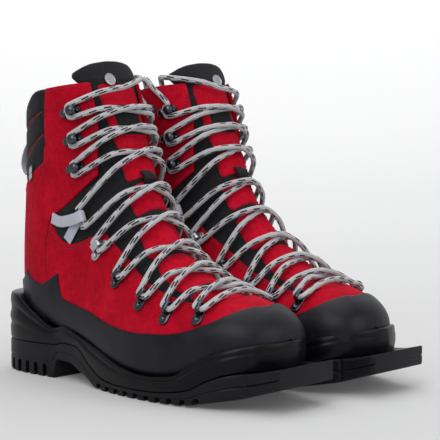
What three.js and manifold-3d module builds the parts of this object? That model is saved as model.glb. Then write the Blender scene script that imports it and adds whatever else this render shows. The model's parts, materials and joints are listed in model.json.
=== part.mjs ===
// A pair of leather ski-touring boots with lugged soles and three-pin duckbill toes.
// Millimetres, +Z up, toes toward -Y. The right boot stands at -X, the left one is its mirror
// image at +X and stands a little further forward. The soles rest on z = 0.
import * as THREE from "three";
import { mergeVertices } from "three/addons/utils/BufferGeometryUtils.js";
import Module from "manifold-3d";

const wasm = await Module();
wasm.setup();

// Overall sizes of one boot and of the pair.
const bootLength = 315; // back of the heel to the front edge of the duckbill
const collarHeight = 245; // floor to the front of the collar
const ballWidth = 98.4; // leather across the ball of the foot
const bootClearance = 1.4; // between the soles, where both boots would be widest side by side
const bootStagger = 11.3; // how far the left boot stands ahead of the right one

// Layers, from the foot outward.
const footbedThick = 3;
const liningThick = 3;
const leatherThick = 2.4;
const skiveDepth = 1.6; // how much thinner the leather is under the rand
const layerGap = 1.8;
const seatGap = 0.5; // between the lasting board or the footbed and the lining
const randGap = 1.1;
const randThick = 2;
const soleGap = 2.3; // between the rand and the wall of the midsole

// Sole.
const duckbillWidth = 63.5; // at the front edge
const duckbillRearWidth = 75;
const toeSpring = 19.6; // front edge of the duckbill above the floor
const lugDepth = 4;
const lugGap = 6;
const lugReach = 21; // how far a groove runs in from the edge
const pinRadius = 2.3;
const pinDepth = 8;
const joinGap = 0.4;

// Ankle hinge, at the point of the dark notch on each side.
const hingeForward = 71; // ahead of the back of the heel
const hingeHeight = 133;
const seamGap = 1; // between cuff and heel leather beside the hinge
const seamAngle = 1.6; // each lip of the back seam opens by this many degrees

// Laces and fittings.
const laceDiameter = 4.6;
const laceGap = 0.4;
const hookBaseRadius = 4.6;
const hookPostRadius = 1.8;
const hookHeadRadius = 3.7;
const plateThick = 1;
const plateLift = 0.6; // under side of a riveted plate above the leather
const loopWidth = 3;
const lockWidth = 6;
const loopWire = 2.2;
const rivetRadius = 4;
const strapWidth = 8;
const strapThick = 1.1;
const pullWidth = 14;
const pullThick = 1.6;
const pullReach = 14; // how far the heel loop stands off the leather

const laceRadius = laceDiameter / 2;
const laceLift = plateLift + plateThick + 2.5 * laceGap + laceRadius;
const scaleS = bootLength / 315;
const scaleZ = collarHeight / 245;
const scaleW = ballWidth / 98.4;

// The upper is a loft of sections from the toe (0) over the instep to the collar (16) and the
// tongue tip (18). Each row: front point (forward, up), back or bottom point (forward, up),
// half width, sideways shift, depth of the widest point, roundness in front and behind.
const sections = [
  [293.5, 50, 293.5, 44, 2, -4, 0.5, 2, 2],
  [291, 59, 291, 36, 17, -4, 0.54, 2.1, 2.6],
  [284, 67, 285, 34, 29, -3, 0.56, 2.2, 3.6],
  [270, 75, 272, 31, 38.5, -1.5, 0.6, 2.2, 4.6],
  [251, 81, 250, 24, 45, 1, 0.6, 2.1, 5.2],
  [228, 88, 222, 17.5, 48.3, 3.7, 0.6, 2, 5.2],
  [204, 101, 190, 16, 49.2, 5.3, 0.6, 1.95, 5.2],
  [184, 117, 152, 20, 46.5, 4.5, 0.6, 1.95, 4.6],
  [168, 136, 108, 32, 42.5, 1.5, 0.6, 2.1, 4.2],
  [157, 154, 60, 37, 39, 0, 0.58, 2.3, 3.6],
  [150, 169, 26, 42, 38, 0, 0.55, 2.5, 3],
  [144, 184, 11, 62, 38, 0, 0.52, 2.7, 2.5],
  [137, 199, 8, 96, 38, 0, 0.5, 2.8, 2.3],
  [131, 213, 12, 138, 39, 0, 0.5, 2.8, 2.3],
  [125, 226, 16, 176, 40, 0, 0.5, 2.8, 2.3],
  [120, 236, 18, 208, 41, 0, 0.5, 2.8, 2.3],
  [116, 245, 19, 232, 41, 0, 0.5, 2.8, 2.3],
  [112, 254, 20, 250, 41, 0, 0.5, 2.8, 2.3],
  [108, 263, 20, 268, 40, 0, 0.5, 2.8, 2.3],
];
const lastSection = sections.length - 1;
const collar = 16;

// Angle of the throat edge from the middle line, by section.
const throatEdge = [
  [0, 40], [2.6, 30], [3.9, 14], [4.3, 30], [4.9, 41], [5.44, 44], [6.4, 48], [7.46, 50.8],
  [8.1, 54], [8.94, 57], [11.2, 49.5], [12.14, 46], [13.42, 40], [15.17, 37], [18, 36],
];
// Upper edge of the rand: angle from the middle line, by section.
const randEdge = [
  [0, 45], [1.2, 40], [1.9, 28], [2.55, 11], [2.83, 14], [3.13, 37.7], [3.93, 62], [4.84, 77],
  [5.87, 86.7], [6.89, 97.3], [7.61, 104.5], [8.94, 110], [9.61, 95.9], [9.96, 111], [11.05, 126],
];
// Lower edge of the cuff and upper edge of the vamp in the ankle notch, by share of the side.
const notchShare = 0.49;
const notchTop = [[0, 11.2], [0.257, 11.28], [notchShare, 11.5]];
const notchBottom = [[0, 8.94], [0.089, 9.25], [0.265, 9.82], [0.373, 10.42], [notchShare, 11.4]];
// The padded panel behind the collar: its lower edge, and the dip of the collar at the back.
const panelShare = 0.56;
const panelLow = [[90, 13.28], [121, 13.22], [180, 13.45]];
const collarTop = [[0, 16], [100, 16], [125, 15.6], [150, 15.25], [180, 15.2]];
const tongueTip = [[16, 42], [16.2, 50], [16.9, 50], [17.5, 40], [17.9, 24], [18, 20]];
const cornerAngle = 135; // where the side of the upper turns under the foot

// Sole heights above the floor, by distance from the back of the heel.
const grooveHeights = [
  [0, 66], [22, 66], [50, 53], [76, 42], [89, 45], [107, 40.5], [143, 30.7], [173, 22],
  [198, 19.5], [227, 22.5], [245, 33], [267, 44], [296, 50], [315, 50],
];
const outsoleTop = [
  [0, 26], [50, 27], [77, 27.7], [89, 30.5], [107, 29.8], [127, 17.8], [147, 8.8], [165, 7],
  [185, 7], [210, 7.8], [241, 12.5], [260, 22], [279, 27.8], [296, 30], [315, 34.6],
];
const outsoleBottom = [
  [0, 1.5], [4, 0], [77, 0], [79, 14], [84, 16], [100, 15], [125, 6], [134, 1.5], [147, 0],
  [205, 0], [241, 1.4], [258, 4.9], [284, 10], [315, toeSpring],
];
// Plan of the sole: distance from the back of the heel, outer and inner half width.
const heelPlan = [
  [0, 7, 7], [3, 17, 17], [8, 26, 26], [16, 33, 32], [30, 38, 36.5], [50, 39.5, 37],
  [77, 39, 36.5], [79, 39, 36.5], [90, 40, 37.5], [107, 42, 39], [127, 46, 41.5], [134, 47.5, 42.3],
  [147, 50, 43.8], [165, 53, 45.5], [185, 55, 47], [210, 55.7, 48], [225, 55, 48],
  [241, 53, 47.5], [258, 49, 45.5],
];
const midsolePlan = [
  ...heelPlan, [270, 44, 43], [279, 38, 38], [286, 31, 31], [291, 25.5, 25.5], [296, 16, 16], [299.5, 7, 7],
];
const outsolePlan = [
  ...heelPlan, [270, 46, 43], [279, 40, 39.5], [286, duckbillRearWidth / 2, duckbillRearWidth / 2],
  [291, 36.5, 36.5], [296, 35.5, 35.5], [305, 34, 34], [315, duckbillWidth / 2, duckbillWidth / 2],
];

// Middle plane to middle plane: the widest inner half of both soles, and the clearance.
const soleSwell = 1.2; // how far the ridges of the midsole wall stand out
const widestInner = Math.max(...heelPlan.map((row) => row[2])) + soleSwell;
const bootSpacing = 2 * widestInner * scaleW + bootClearance;

// Lace rows from the toe up: section and angle of each fitting, and how its lace turn is shaped.
const rows = [
  { kind: "loop", at: [4.34, 50.5] },
  { kind: "loop", at: [5.35, 59.5] },
  { kind: "loop", at: [6.28, 61] },
  { kind: "loop", at: [7.43, 64] },
  { kind: "lock", at: [8.65, 64.5] },
  { kind: "strap", at: [10.24, 64] },
  { kind: "hook", at: [11.98, 59.6] },
  { kind: "hook", at: [13.06, 57.9] },
  { kind: "hook", at: [14.31, 55.4] },
];

const rad = THREE.MathUtils.degToRad;
const mix = THREE.MathUtils.lerp;

// Straight-line reading of a table of [position, value] pairs.
function read(table, x, column = 1) {
  let i = 1;
  while (i < table.length - 1 && x > table[i][0]) i += 1;
  const a = table[i - 1];
  const b = table[i];
  const f = THREE.MathUtils.clamp((x - a[0]) / (b[0] - a[0]), 0, 1);
  return mix(a[column], b[column], f);
}

// One section of the upper at a fractional station, by a smooth curve through the table.
function sectionAt(t) {
  const x = THREE.MathUtils.clamp(t, 0, lastSection);
  const i = Math.min(Math.floor(x), lastSection - 1);
  const f = x - i;
  const row = (k, c) => {
    if (k < 0) return 2 * sections[0][c] - sections[1][c];
    if (k > lastSection) return 2 * sections[lastSection][c] - sections[lastSection - 1][c];
    return sections[k][c];
  };
  return sections[0].map((_, c) => {
    const [a, b, d, e] = [row(i - 1, c), row(i, c), row(i + 1, c), row(i + 2, c)];
    const [m, n] = [(d - a) / 2, (e - b) / 2];
    return b + f * (m + f * (3 * (d - b) - 2 * m - n + f * (2 * (b - d) + m + n)));
  });
}

// Point of the upper's outer face: station along the foot, angle (degrees) from the middle line.
function bare(t, angle) {
  const [fs, fz, bs, bz, w, c, m, nt, nb] = sectionAt(t);
  const co = Math.cos(rad(angle));
  const si = Math.sin(rad(angle));
  const n = co > 0 ? nt : nb;
  const r = (Math.abs(co) ** n + Math.abs(si) ** n) ** (-1 / n);
  const u = co > 0 ? m * (1 - co * r) : m - (1 - m) * co * r;
  return new THREE.Vector3(-(c + w * si * r) * scaleW, -mix(fs, bs, u) * scaleS, mix(fz, bz, u) * scaleZ);
}

// Directions on the outer face: along the stations, around the section, and outward.
function facing(t, angle) {
  const e = 0.002;
  const lo = Math.max(t - e, 0);
  const hi = Math.min(t + e, lastSection);
  const along = bare(hi, angle).sub(bare(lo, angle)).normalize();
  const around = bare(t, angle + 0.05).sub(bare(t, angle - 0.05)).normalize();
  const out = along.clone().cross(around).normalize();
  return { along, around, out };
}

// Point at a distance outside (or, if negative, inside) the outer face.
function skin(t, angle, off) {
  return bare(t, angle).addScaledVector(facing(t, angle).out, off);
}

// Geometry from corner points and triangles, turned so that its faces look outward.
function solidGeometry(points, triangles) {
  let volume = 0;
  for (const [a, b, c] of triangles) {
    volume += points[a].dot(points[b].clone().cross(points[c]));
  }
  const faces = volume < 0 ? triangles.map(([a, b, c]) => [a, c, b]) : triangles;
  const geometry = new THREE.BufferGeometry();
  geometry.setAttribute(
    "position",
    new THREE.Float32BufferAttribute(points.flatMap((p) => [p.x, p.y, p.z]), 3),
  );
  geometry.setIndex(faces.flat());
  return geometry;
}

// Closed shell between two offsets of the upper over the cells of a grid that are kept.
// `spot(i, j)` gives the station and angle of a grid point; `round` joins the last column to
// the first.
function shell({ rowCount, colCount, spot, keep, inner, outer, round = false }) {
  const points = [];
  const index = (i, j, side) => (i * colCount + (round ? j % (colCount - 1) : j)) * 2 + side;
  const outerAt = typeof outer === "function" ? outer : () => outer;
  for (let i = 0; i < rowCount; i += 1) {
    for (let j = 0; j < colCount; j += 1) {
      const [t, angle] = spot(i, j);
      points.push(skin(t, angle, inner), skin(t, angle, outerAt(t, angle)));
    }
  }
  const cols = colCount - 1;
  const has = (i, j) => {
    if (i < 0 || i >= rowCount - 1) return false;
    if (!round && (j < 0 || j >= cols)) return false;
    return keep(i, (j + cols) % cols);
  };
  const triangles = [];
  const quad = (a, b, c, d) => triangles.push([a, b, c], [a, c, d]);
  for (let i = 0; i < rowCount - 1; i += 1) {
    for (let j = 0; j < cols; j += 1) {
      if (!has(i, j)) continue;
      const corner = [[i, j], [i, j + 1], [i + 1, j + 1], [i + 1, j]];
      quad(...corner.map(([a, b]) => index(a, b, 1)));
      quad(...corner.map(([a, b]) => index(a, b, 0)).reverse());
      const beyond = [[i - 1, j], [i, j + 1], [i + 1, j], [i, j - 1]];
      beyond.forEach(([a, b], k) => {
        if (has(a, b)) return;
        const [p, q] = [corner[k], corner[(k + 1) % 4]];
        quad(index(...q, 1), index(...p, 1), index(...p, 0), index(...q, 0));
      });
    }
  }
  return solidGeometry(points, triangles);
}

// Columns of a shell from the inner side round the middle line to the outer side. Each half has
// a front zone (over the middle line), a side zone and a rear zone (round the heel).
function columnsFrom(front, side, rear) {
  const half = [
    ...front.map((v) => ({ zone: "front", v })),
    ...side.map((v) => ({ zone: "side", v })),
    ...rear.map((v) => ({ zone: "rear", v })),
  ];
  const mirrored = half.filter((c) => c.zone !== "front" || c.v > 0).map((c) => ({ ...c, sign: -1 }));
  return [...mirrored.reverse(), ...half.map((c) => ({ ...c, sign: 1 }))];
}

// Angle of a column where the side zone starts at the given edge angle.
function columnAngle({ zone, v, sign }, edge) {
  if (zone === "front") return sign * v * edge;
  if (zone === "side") return sign * mix(edge, cornerAngle, v);
  return sign * mix(cornerAngle, 180, v);
}

// Zone of the cell between two neighbouring columns, with the share nearer the middle line.
function cellZone(columns, j) {
  const [a, b] = [columns[j], columns[j + 1]];
  if (a.zone === "rear" || b.zone === "rear") return { zone: "rear", v: 1 };
  if (a.zone === "front" || b.zone === "front" || a.sign !== b.sign) return { zone: "front", v: 0 };
  return { zone: "side", v: Math.min(a.v, b.v) };
}

// Station where the heel leather (lip -1) or the cuff (lip +1) ends along the back seam.
function seamStation(angle, lip) {
  let lo = 10;
  let hi = 14;
  for (let k = 0; k < 30; k += 1) {
    const t = (lo + hi) / 2;
    const p = bare(t, angle);
    const behind = Math.max(0, hingeForward * scaleS + p.y);
    const target = hingeHeight * scaleZ + lip * (seamGap / 2 + behind * Math.tan(rad(seamAngle)));
    if (p.z < target) lo = t;
    else hi = t;
  }
  return (lo + hi) / 2;
}

// Upper edge of the vamp and lower edge of the cuff at a column.
function anklePoint(column, lip) {
  const table = lip < 0 ? notchBottom : notchTop;
  if (column.zone === "side" && column.v <= notchShare) return read(table, column.v);
  const guess = column.zone === "side" ? mix(49, cornerAngle, column.v) : mix(cornerAngle, 180, column.v);
  return seamStation(guess, lip);
}

// Outer face of the lower leather: thinned where the rand covers it.
function skived(t, angle) {
  const covered = t < 11.2 && Math.abs(angle) > read(randEdge, t) - 3;
  const capped = t < 3.6;
  return covered || capped ? -skiveDepth : 0;
}

function makeVamp() {
  const columns = columnsFrom([0], [0, 0.17, 0.33, notchShare, 0.74, 1], [0.5, 1]);
  const front = [0.5, 1.2, 1.9, 2.55, 3.2, 3.55, 3.9, 4.4, 5.2, 6.3, 7.3, 8.2];
  const shares = [0.28, 0.42, 0.56, 0.75, 1];
  const throatRow = front.indexOf(3.9);
  const spot = (i, j) => {
    const column = columns[j];
    if (i < front.length) return [front[i], columnAngle(column, read(throatEdge, front[i]))];
    const top = anklePoint(column, -1);
    const t = mix(8.2, top, shares[i - front.length]);
    return [t, columnAngle(column, read(throatEdge, t))];
  };
  const keep = (i, j) => {
    const { zone } = cellZone(columns, j);
    if (zone === "front") return i < throatRow;
    if (zone === "rear") return i >= front.length + 1;
    return true;
  };
  return shell({
    rowCount: front.length + shares.length, colCount: columns.length, spot, keep,
    inner: -leatherThick, outer: skived, round: true,
  });
}

function makeCuff() {
  const columns = columnsFrom([], [0, 0.17, 0.33, notchShare, panelShare, 0.78, 1], [0.5, 1]);
  const low = [0, 0.5, 1];
  const high = [0.5, 1];
  const panelRow = low.length - 1;
  const spot = (i, j) => {
    const column = columns[j];
    const guess = Math.abs(columnAngle(column, 40));
    const bottom = anklePoint(column, 1);
    const middle = read(panelLow, guess);
    const t = i <= panelRow ? mix(bottom, middle, low[i]) : mix(middle, collar, high[i - low.length]);
    return [t, columnAngle(column, read(throatEdge, t))];
  };
  const keep = (i, j) => {
    const { zone, v } = cellZone(columns, j);
    if (zone === "front") return false;
    return i < panelRow || (zone === "side" && v < panelShare - 0.01);
  };
  return shell({
    rowCount: low.length + high.length, colCount: columns.length, spot, keep,
    inner: -leatherThick, outer: 0, round: true,
  });
}

function makeCollarPad() {
  const columns = columnsFrom([], [panelShare + 0.015, 0.78, 1], [0.5, 1]);
  const shares = [0, 0.33, 0.67, 1];
  const spot = (i, j) => {
    const column = columns[j];
    const guess = Math.abs(columnAngle(column, 38));
    const t = mix(read(panelLow, guess) + 0.05, read(collarTop, guess), shares[i]);
    return [t, columnAngle(column, read(throatEdge, t))];
  };
  const keep = (i, j) => cellZone(columns, j).zone !== "front";
  return shell({
    rowCount: shares.length, colCount: columns.length, spot, keep,
    inner: -leatherThick - 0.3, outer: -0.1, round: true,
  });
}

// Stations that the lining shares with the sheets under the foot, so that they lie parallel.
const soleStations = [0.5, 1.2, 1.9, 2.55, 3.2, 3.8, 4.4, 5.2, 6.3, 7.3, 8.2, 9, 9.6];

function makeLining() {
  const columns = columnsFrom([0], [0, 0.22, notchShare, 0.74, 1], [0.5, 1]);
  const stations = [0, ...soleStations, 10.4, 11.2, 12.1, 13.3, 14.6, 16];
  const slitRow = stations.indexOf(3.8);
  const edge = (t) => read(throatEdge, t) + 9;
  const spot = (i, j) => {
    const column = columns[j];
    const top = read(collarTop, Math.abs(columnAngle(column, 45))) / collar;
    const t = stations[i] > 13 ? mix(13.3, collar * top, (stations[i] - 13.3) / (collar - 13.3)) : stations[i];
    return [t, columnAngle(column, edge(t))];
  };
  const keep = (i, j) => i < slitRow || cellZone(columns, j).zone !== "front";
  return shell({
    rowCount: stations.length, colCount: columns.length, spot, keep,
    inner: -leatherThick - layerGap - liningThick, outer: -leatherThick - layerGap, round: true,
  });
}

function makeTongue() {
  const stations = [3.95, 4.4, 5.2, 6.3, 7.3, 8.2, 9, 10, 11.2, 12.6, 14.2, 16, 16.2, 16.9, 17.5, 17.9];
  const shares = [-1, -0.66, -0.33, 0, 0.33, 0.66, 1];
  const spot = (i, j) => {
    const t = stations[i];
    const half = t < collar ? read(throatEdge, t) + 6 : read(tongueTip, t);
    return [t, shares[j] * half];
  };
  return shell({
    rowCount: stations.length, colCount: shares.length, spot, keep: () => true,
    inner: -leatherThick - layerGap - liningThick, outer: -leatherThick - layerGap,
  });
}

function makeRand() {
  const columns = columnsFrom([0, 0.5], [0, 0.2, 0.45, 0.72, 1], [0.5, 1]);
  const front = [0, 0.5, 1.2, 1.9, 2.55, 2.83, 3.13, 3.5, 3.93, 4.84, 5.87, 6.89, 7.61, 8.94, 9.61, 9.96, 10.3];
  const shares = [0.35, 0.7, 1];
  const capRow = front.indexOf(2.55);
  const spot = (i, j) => {
    const column = columns[j];
    if (i < front.length) return [front[i], columnAngle(column, read(randEdge, front[i]))];
    const end = column.zone === "rear" ? mix(11.05, 11.65, column.v) : 11.05;
    const t = mix(10.3, end, shares[i - front.length]);
    return [t, columnAngle(column, read(randEdge, t))];
  };
  const keep = (i, j) => {
    const { zone } = cellZone(columns, j);
    if (zone === "front") return i < capRow;
    if (zone === "rear") return i >= front.length - 1;
    return true;
  };
  return shell({
    rowCount: front.length + shares.length, colCount: columns.length, spot, keep,
    inner: randGap, outer: randGap + randThick, round: true,
  });
}

// Sheet under the foot: the lasting board outside the lining or the footbed inside it.
function makeUnderfoot(inner, outer, halfAngle, stations) {
  const shares = [-1, -0.62, 0, 0.62, 1];
  const spot = (i, j) => [stations[i], 180 + shares[j] * halfAngle];
  return shell({
    rowCount: stations.length, colCount: shares.length, spot, keep: () => true, inner, outer,
  });
}

// Loft of rings through the sole's plan: levels run from the bottom face to the top face.
function solePiece(plan, levels) {
  const ring = ([s, outerHalf, innerHalf]) => {
    const outer = levels.map(([z, swell]) => [-(outerHalf + swell) * scaleW, z(s)]);
    const inner = levels.map(([z, swell]) => [(innerHalf + swell) * scaleW, z(s)]).reverse();
    return [...outer, ...inner].map(([x, z]) => new THREE.Vector3(x, -s * scaleS, z * scaleZ));
  };
  const rings = plan.map(ring);
  const n = rings[0].length;
  const triangles = [];
  for (let i = 0; i < rings.length - 1; i += 1) {
    for (let j = 0; j < n; j += 1) {
      const [a, b] = [i * n + j, i * n + ((j + 1) % n)];
      triangles.push([a, b, b + n], [a, b + n, a + n]);
    }
  }
  const cap = (first, flip) => {
    const half = n / 2;
    for (let j = 0; j < half - 1; j += 1) {
      const [a, b, c, d] = [j, j + 1, n - 2 - j, n - 1 - j].map((k) => first + k);
      const pair = [[a, b, c], [a, c, d]];
      triangles.push(...pair.map(([p, q, r]) => (flip ? [p, q, r] : [p, r, q])));
    }
  };
  cap(0, false);
  cap((rings.length - 1) * n, true);
  return solidGeometry(rings.flat(), triangles);
}

// Exact solid of a closed geometry, for joins and cuts.
function toSolid(geometry) {
  const plain = geometry.clone();
  plain.deleteAttribute("normal");
  plain.deleteAttribute("uv");
  const merged = mergeVertices(plain, 1e-4);
  return new wasm.Manifold(
    new wasm.Mesh({
      numProp: 3,
      vertProperties: merged.attributes.position.array,
      triVerts: new Uint32Array(merged.index.array),
    }),
  );
}

function toGeometry(solid) {
  const { vertProperties, triVerts } = solid.getMesh();
  const geometry = new THREE.BufferGeometry();
  geometry.setAttribute("position", new THREE.BufferAttribute(vertProperties, 3));
  geometry.setIndex(new THREE.BufferAttribute(triVerts, 1));
  return geometry;
}

// Block that clears the upper and its rand out of the midsole.
function clearance() {
  const grow = randGap + randThick + soleGap;
  const n = 24;
  const angles = Array.from({ length: n }, (_, k) => (k * 360) / n);
  const stations = [0, 0.5, 1.2, 1.9, 2.55, 3.2, 3.93, 4.84, 5.87, 6.89, 7.61, 8.3, 8.94, 9.61, 10.3, 10.85, 11.4, 12];
  const points = stations.flatMap((t) => angles.map((a) => skin(t, a, grow)));
  const triangles = [];
  for (let i = 0; i < stations.length - 1; i += 1) {
    for (let j = 0; j < n; j += 1) {
      const [a, b] = [i * n + j, i * n + ((j + 1) % n)];
      triangles.push([a, b, b + n], [a, b + n, a + n]);
    }
  }
  const end = (stations.length - 1) * n;
  for (let j = 1; j < n - 1; j += 1) {
    triangles.push([0, j + 1, j], [end, end + j, end + j + 1]);
  }
  return toSolid(solidGeometry(points, triangles));
}

function makeMidsole() {
  const bottom = (s) => read(outsoleTop, s) + joinGap;
  const top = (s) => read(grooveHeights, s);
  const part = (share) => (s) => mix(bottom(s), top(s), share);
  const levels = [
    [bottom, 0], [part(0.3), soleSwell], [part(0.5), -1], [part(0.7), soleSwell], [top, 0],
  ];
  return toGeometry(toSolid(solePiece(midsolePlan, levels)).subtract(clearance()));
}

function makeOutsole() {
  const bottom = (s) => read(outsoleBottom, s);
  const top = (s) => read(outsoleTop, s);
  const middle = (s) => mix(bottom(s), top(s), 0.5);
  let sole = toSolid(solePiece(outsolePlan, [[bottom, -1.5], [middle, 0.6], [top, -0.4]]));
  const grooves = [22, 40, 58, 156, 172, 188, 204, 220, 236, 252];
  for (const s of grooves) {
    for (const side of [-1, 1]) {
      const edge = read(outsolePlan, s, side < 0 ? 1 : 2) * scaleW;
      const height = lugDepth + bottom(s) * scaleZ + 2;
      const box = new THREE.BoxGeometry(lugReach + 4, lugGap, height);
      box.translate(side * (edge - lugReach / 2 + 2), -s * scaleS, height / 2 - 2);
      sole = sole.subtract(toSolid(box));
    }
  }
  for (const [s, x] of [[303, 0], [295, -12], [295, 12]]) {
    const hole = new THREE.CylinderGeometry(pinRadius, pinRadius, pinDepth + 12, 10);
    hole.rotateX(Math.PI / 2);
    hole.translate(x, -s * scaleS, bottom(s) * scaleZ + (pinDepth - 12) / 2);
    sole = sole.subtract(toSolid(hole));
  }
  return toGeometry(sole);
}

// Frame of a fitting riveted to the upper: away from the throat, up the throat, outward.
function fittingFrame(t, angle) {
  const { along, out } = facing(t, angle);
  const away = along.clone().cross(out).multiplyScalar(-Math.sign(angle)).normalize();
  return { origin: bare(t, angle), away, along, out };
}

function inFrame({ origin, away, along, out }, a, b, c) {
  return origin.clone().addScaledVector(away, a).addScaledVector(along, b).addScaledVector(out, c);
}

// Moves a geometry built with x away from the throat, y up the throat and z outward.
function settle(geometry, { origin, away, along, out }) {
  const up = away.clone().cross(along).dot(out) < 0 ? along.clone().negate() : along;
  return geometry.applyMatrix4(new THREE.Matrix4().makeBasis(away, up, out).setPosition(origin));
}

function makeHook(t, angle) {
  const foot = plateLift;
  const neck = laceLift + laceRadius + 1.5 * laceGap;
  const profile = [
    [0, foot], [hookBaseRadius, foot], [hookBaseRadius, foot + plateThick],
    [hookPostRadius, foot + plateThick], [hookPostRadius, neck], [hookHeadRadius, neck + 1.2],
    [hookHeadRadius, neck + 3], [0, neck + 4.8],
  ];
  const body = new THREE.LatheGeometry(profile.map(([r, h]) => new THREE.Vector2(r, h)), 7);
  body.rotateX(Math.PI / 2);
  return settle(body, fittingFrame(t, angle));
}

// Riveted bracket: a wire arch that the lace runs under, and a plate with a domed rivet.
const legMiddle = -6; // the arch's inner leg, from the middle of the fitting
const turnReach = 4.8; // middle of the lace beyond the inner leg
function makeLoop(t, angle, width) {
  const foot = plateLift;
  const floor = foot + plateThick;
  const roof = laceLift + laceRadius + laceGap;
  const inside = legMiddle + loopWire / 2;
  const outside = legMiddle + turnReach + laceRadius + laceGap + 0.2;
  const arch = new THREE.Shape();
  arch.moveTo(legMiddle - loopWire / 2, foot);
  arch.lineTo(outside + 1.6, foot);
  arch.lineTo(outside + 1.6, roof);
  arch.lineTo(outside, roof + 1.4);
  arch.lineTo(inside, roof + 1.4);
  arch.lineTo(legMiddle - loopWire / 2, roof);
  const tunnel = new THREE.Path();
  tunnel.moveTo(inside, floor);
  tunnel.lineTo(inside, roof);
  tunnel.lineTo(outside, roof);
  tunnel.lineTo(outside, floor);
  arch.holes.push(tunnel);
  const wire = new THREE.ExtrudeGeometry(arch, { depth: width, bevelEnabled: false });
  wire.translate(0, 0, -width / 2);
  wire.rotateX(Math.PI / 2);
  const rivetAt = outside + 1.2 + rivetRadius;
  const plate = new THREE.CylinderGeometry(rivetRadius, rivetRadius, plateThick, 8);
  plate.rotateX(Math.PI / 2);
  plate.translate(rivetAt, 0, foot + plateThick / 2);
  const body = toGeometry(toSolid(wire).add(toSolid(plate)));
  return settle(body, fittingFrame(t, angle));
}

// Sweep of a cross-section along points; `sides` gives the direction of the section's width.
function sweep(points, sides, section) {
  const rings = points.map((p, i) => {
    const before = points[Math.max(i - 1, 0)];
    const after = points[Math.min(i + 1, points.length - 1)];
    const way = after.clone().sub(before).normalize();
    const side = sides[i].clone().addScaledVector(way, -sides[i].dot(way)).normalize();
    const up = way.clone().cross(side);
    return section.map(([u, v]) => p.clone().addScaledVector(side, u).addScaledVector(up, v));
  });
  const n = section.length;
  const triangles = [];
  for (let i = 0; i < rings.length - 1; i += 1) {
    for (let j = 0; j < n; j += 1) {
      const [a, b] = [i * n + j, i * n + ((j + 1) % n)];
      triangles.push([a, b, b + n], [a, b + n, a + n]);
    }
  }
  const end = (rings.length - 1) * n;
  for (let j = 1; j < n - 1; j += 1) {
    triangles.push([0, j + 1, j], [end, end + j, end + j + 1]);
  }
  return solidGeometry(rings.flat(), triangles);
}

function ribbonSection(width, thick) {
  const [w, h] = [width / 2, thick / 2];
  return [[-w, -h], [w, -h], [w, h], [-w, h]];
}

// Ankle webbing: from the point of the notch forward over the lace, round it, and back under it.
function makeStrap(side) {
  const [t, angle] = rows[5].at;
  const frame = fittingFrame(t, side * angle);
  const bight = legMiddle + turnReach;
  const half = laceRadius + laceGap + strapThick / 2;
  const low = laceLift - half;
  const onSkin = (st, an, off, [t2, an2]) => {
    const point = skin(st, side * an, off);
    const way = skin(t2, side * an2, off).sub(point).normalize();
    return [point, facing(st, side * an).out.clone().cross(way).normalize()];
  };
  const across = (a, h) => [inFrame(frame, a, 0, h), frame.along.clone()];
  const turn = (degrees) => across(
    bight - half * Math.sin(rad(degrees)),
    laceLift + half * Math.cos(rad(degrees)),
  );
  const lift = strapThick / 2 + laceGap;
  const far = onSkin(11.42, 88.5, lift, [10.6, 74]);
  const mid = onSkin(10.95, 80, lift + 0.65, [10.4, 70]);
  const tail = onSkin(10.15, 79, lift, [10.2, 70]);
  const aligned = ([p, s]) => [p, s.dot(frame.along) < 0 ? s.negate() : s];
  const path = [
    aligned(far), aligned(mid), across(bight + 5.5, laceLift + half - 0.6), turn(0), turn(45),
    turn(90), turn(135), turn(180), across(bight + 5, low), aligned(tail),
  ];
  return sweep(path.map((q) => q[0]), path.map((q) => q[1]), ribbonSection(strapWidth, strapThick));
}

// Grip loop of webbing that stands off the back of the cuff.
function makePullLoop() {
  const spots = [
    [13.75, 0.5], [13.78, 3.5], [13.95, pullReach - 1.5], [14.15, pullReach], [14.4, pullReach - 1.2],
    [14.6, 3.5], [14.66, 0.5],
  ];
  const lift = pullThick / 2 + 0.2;
  const points = spots.map(([t, off]) => skin(t, 180, off + lift));
  return sweep(points, points.map(() => new THREE.Vector3(1, 0, 0)), ribbonSection(pullWidth, pullThick));
}

// How the lace turns round the fitting of a row: middle of the turn, half its width, and the
// points of its upper half (away from the throat, up the throat).
function turnShape({ kind }) {
  const hookTurn = hookPostRadius + laceRadius + 3 * laceGap;
  if (kind === "hook") return { middle: 0, half: hookTurn, bend: [[0.9, 0.44], [0.2, 0.98]].map(
    ([a, b]) => [a * hookTurn, b * hookTurn],
  ) };
  const width = { loop: loopWidth, lock: lockWidth, strap: strapWidth }[kind];
  const spare = kind === "strap" ? 0.6 : 0;
  const half = width / 2 + laceRadius + 2 * laceGap + 2 * spare;
  const bend = [[turnReach, width / 2 + 0.6 + spare], [0.4 * turnReach, half]];
  return { middle: legMiddle, half, bend };
}

// Points of the lace round one fitting, from the toe side to the collar side.
function lacedTurn(row, side) {
  const frame = fittingFrame(row.at[0], side * row.at[1]);
  const { middle, bend } = turnShape(row);
  const upper = bend.map(([a, b]) => [middle + a, b]);
  const lower = upper.map(([a, b]) => [a, -b]).reverse();
  return [...lower, ...upper].map(([a, b]) => inFrame(frame, a, b, laceLift));
}

// Station and angle of the upper nearest a point that leaves a fitting up or down the throat.
function besideFitting(row, side, up) {
  const [t, angle] = row.at;
  const step = bare(t + 0.5, side * angle).distanceTo(bare(t - 0.5, side * angle));
  const { middle, half } = turnShape(row);
  const around = bare(t, side * (angle + 0.5)).distanceTo(bare(t, side * (angle - 0.5)));
  return [t + (up * half) / step, side * (angle + middle / around)];
}

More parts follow.
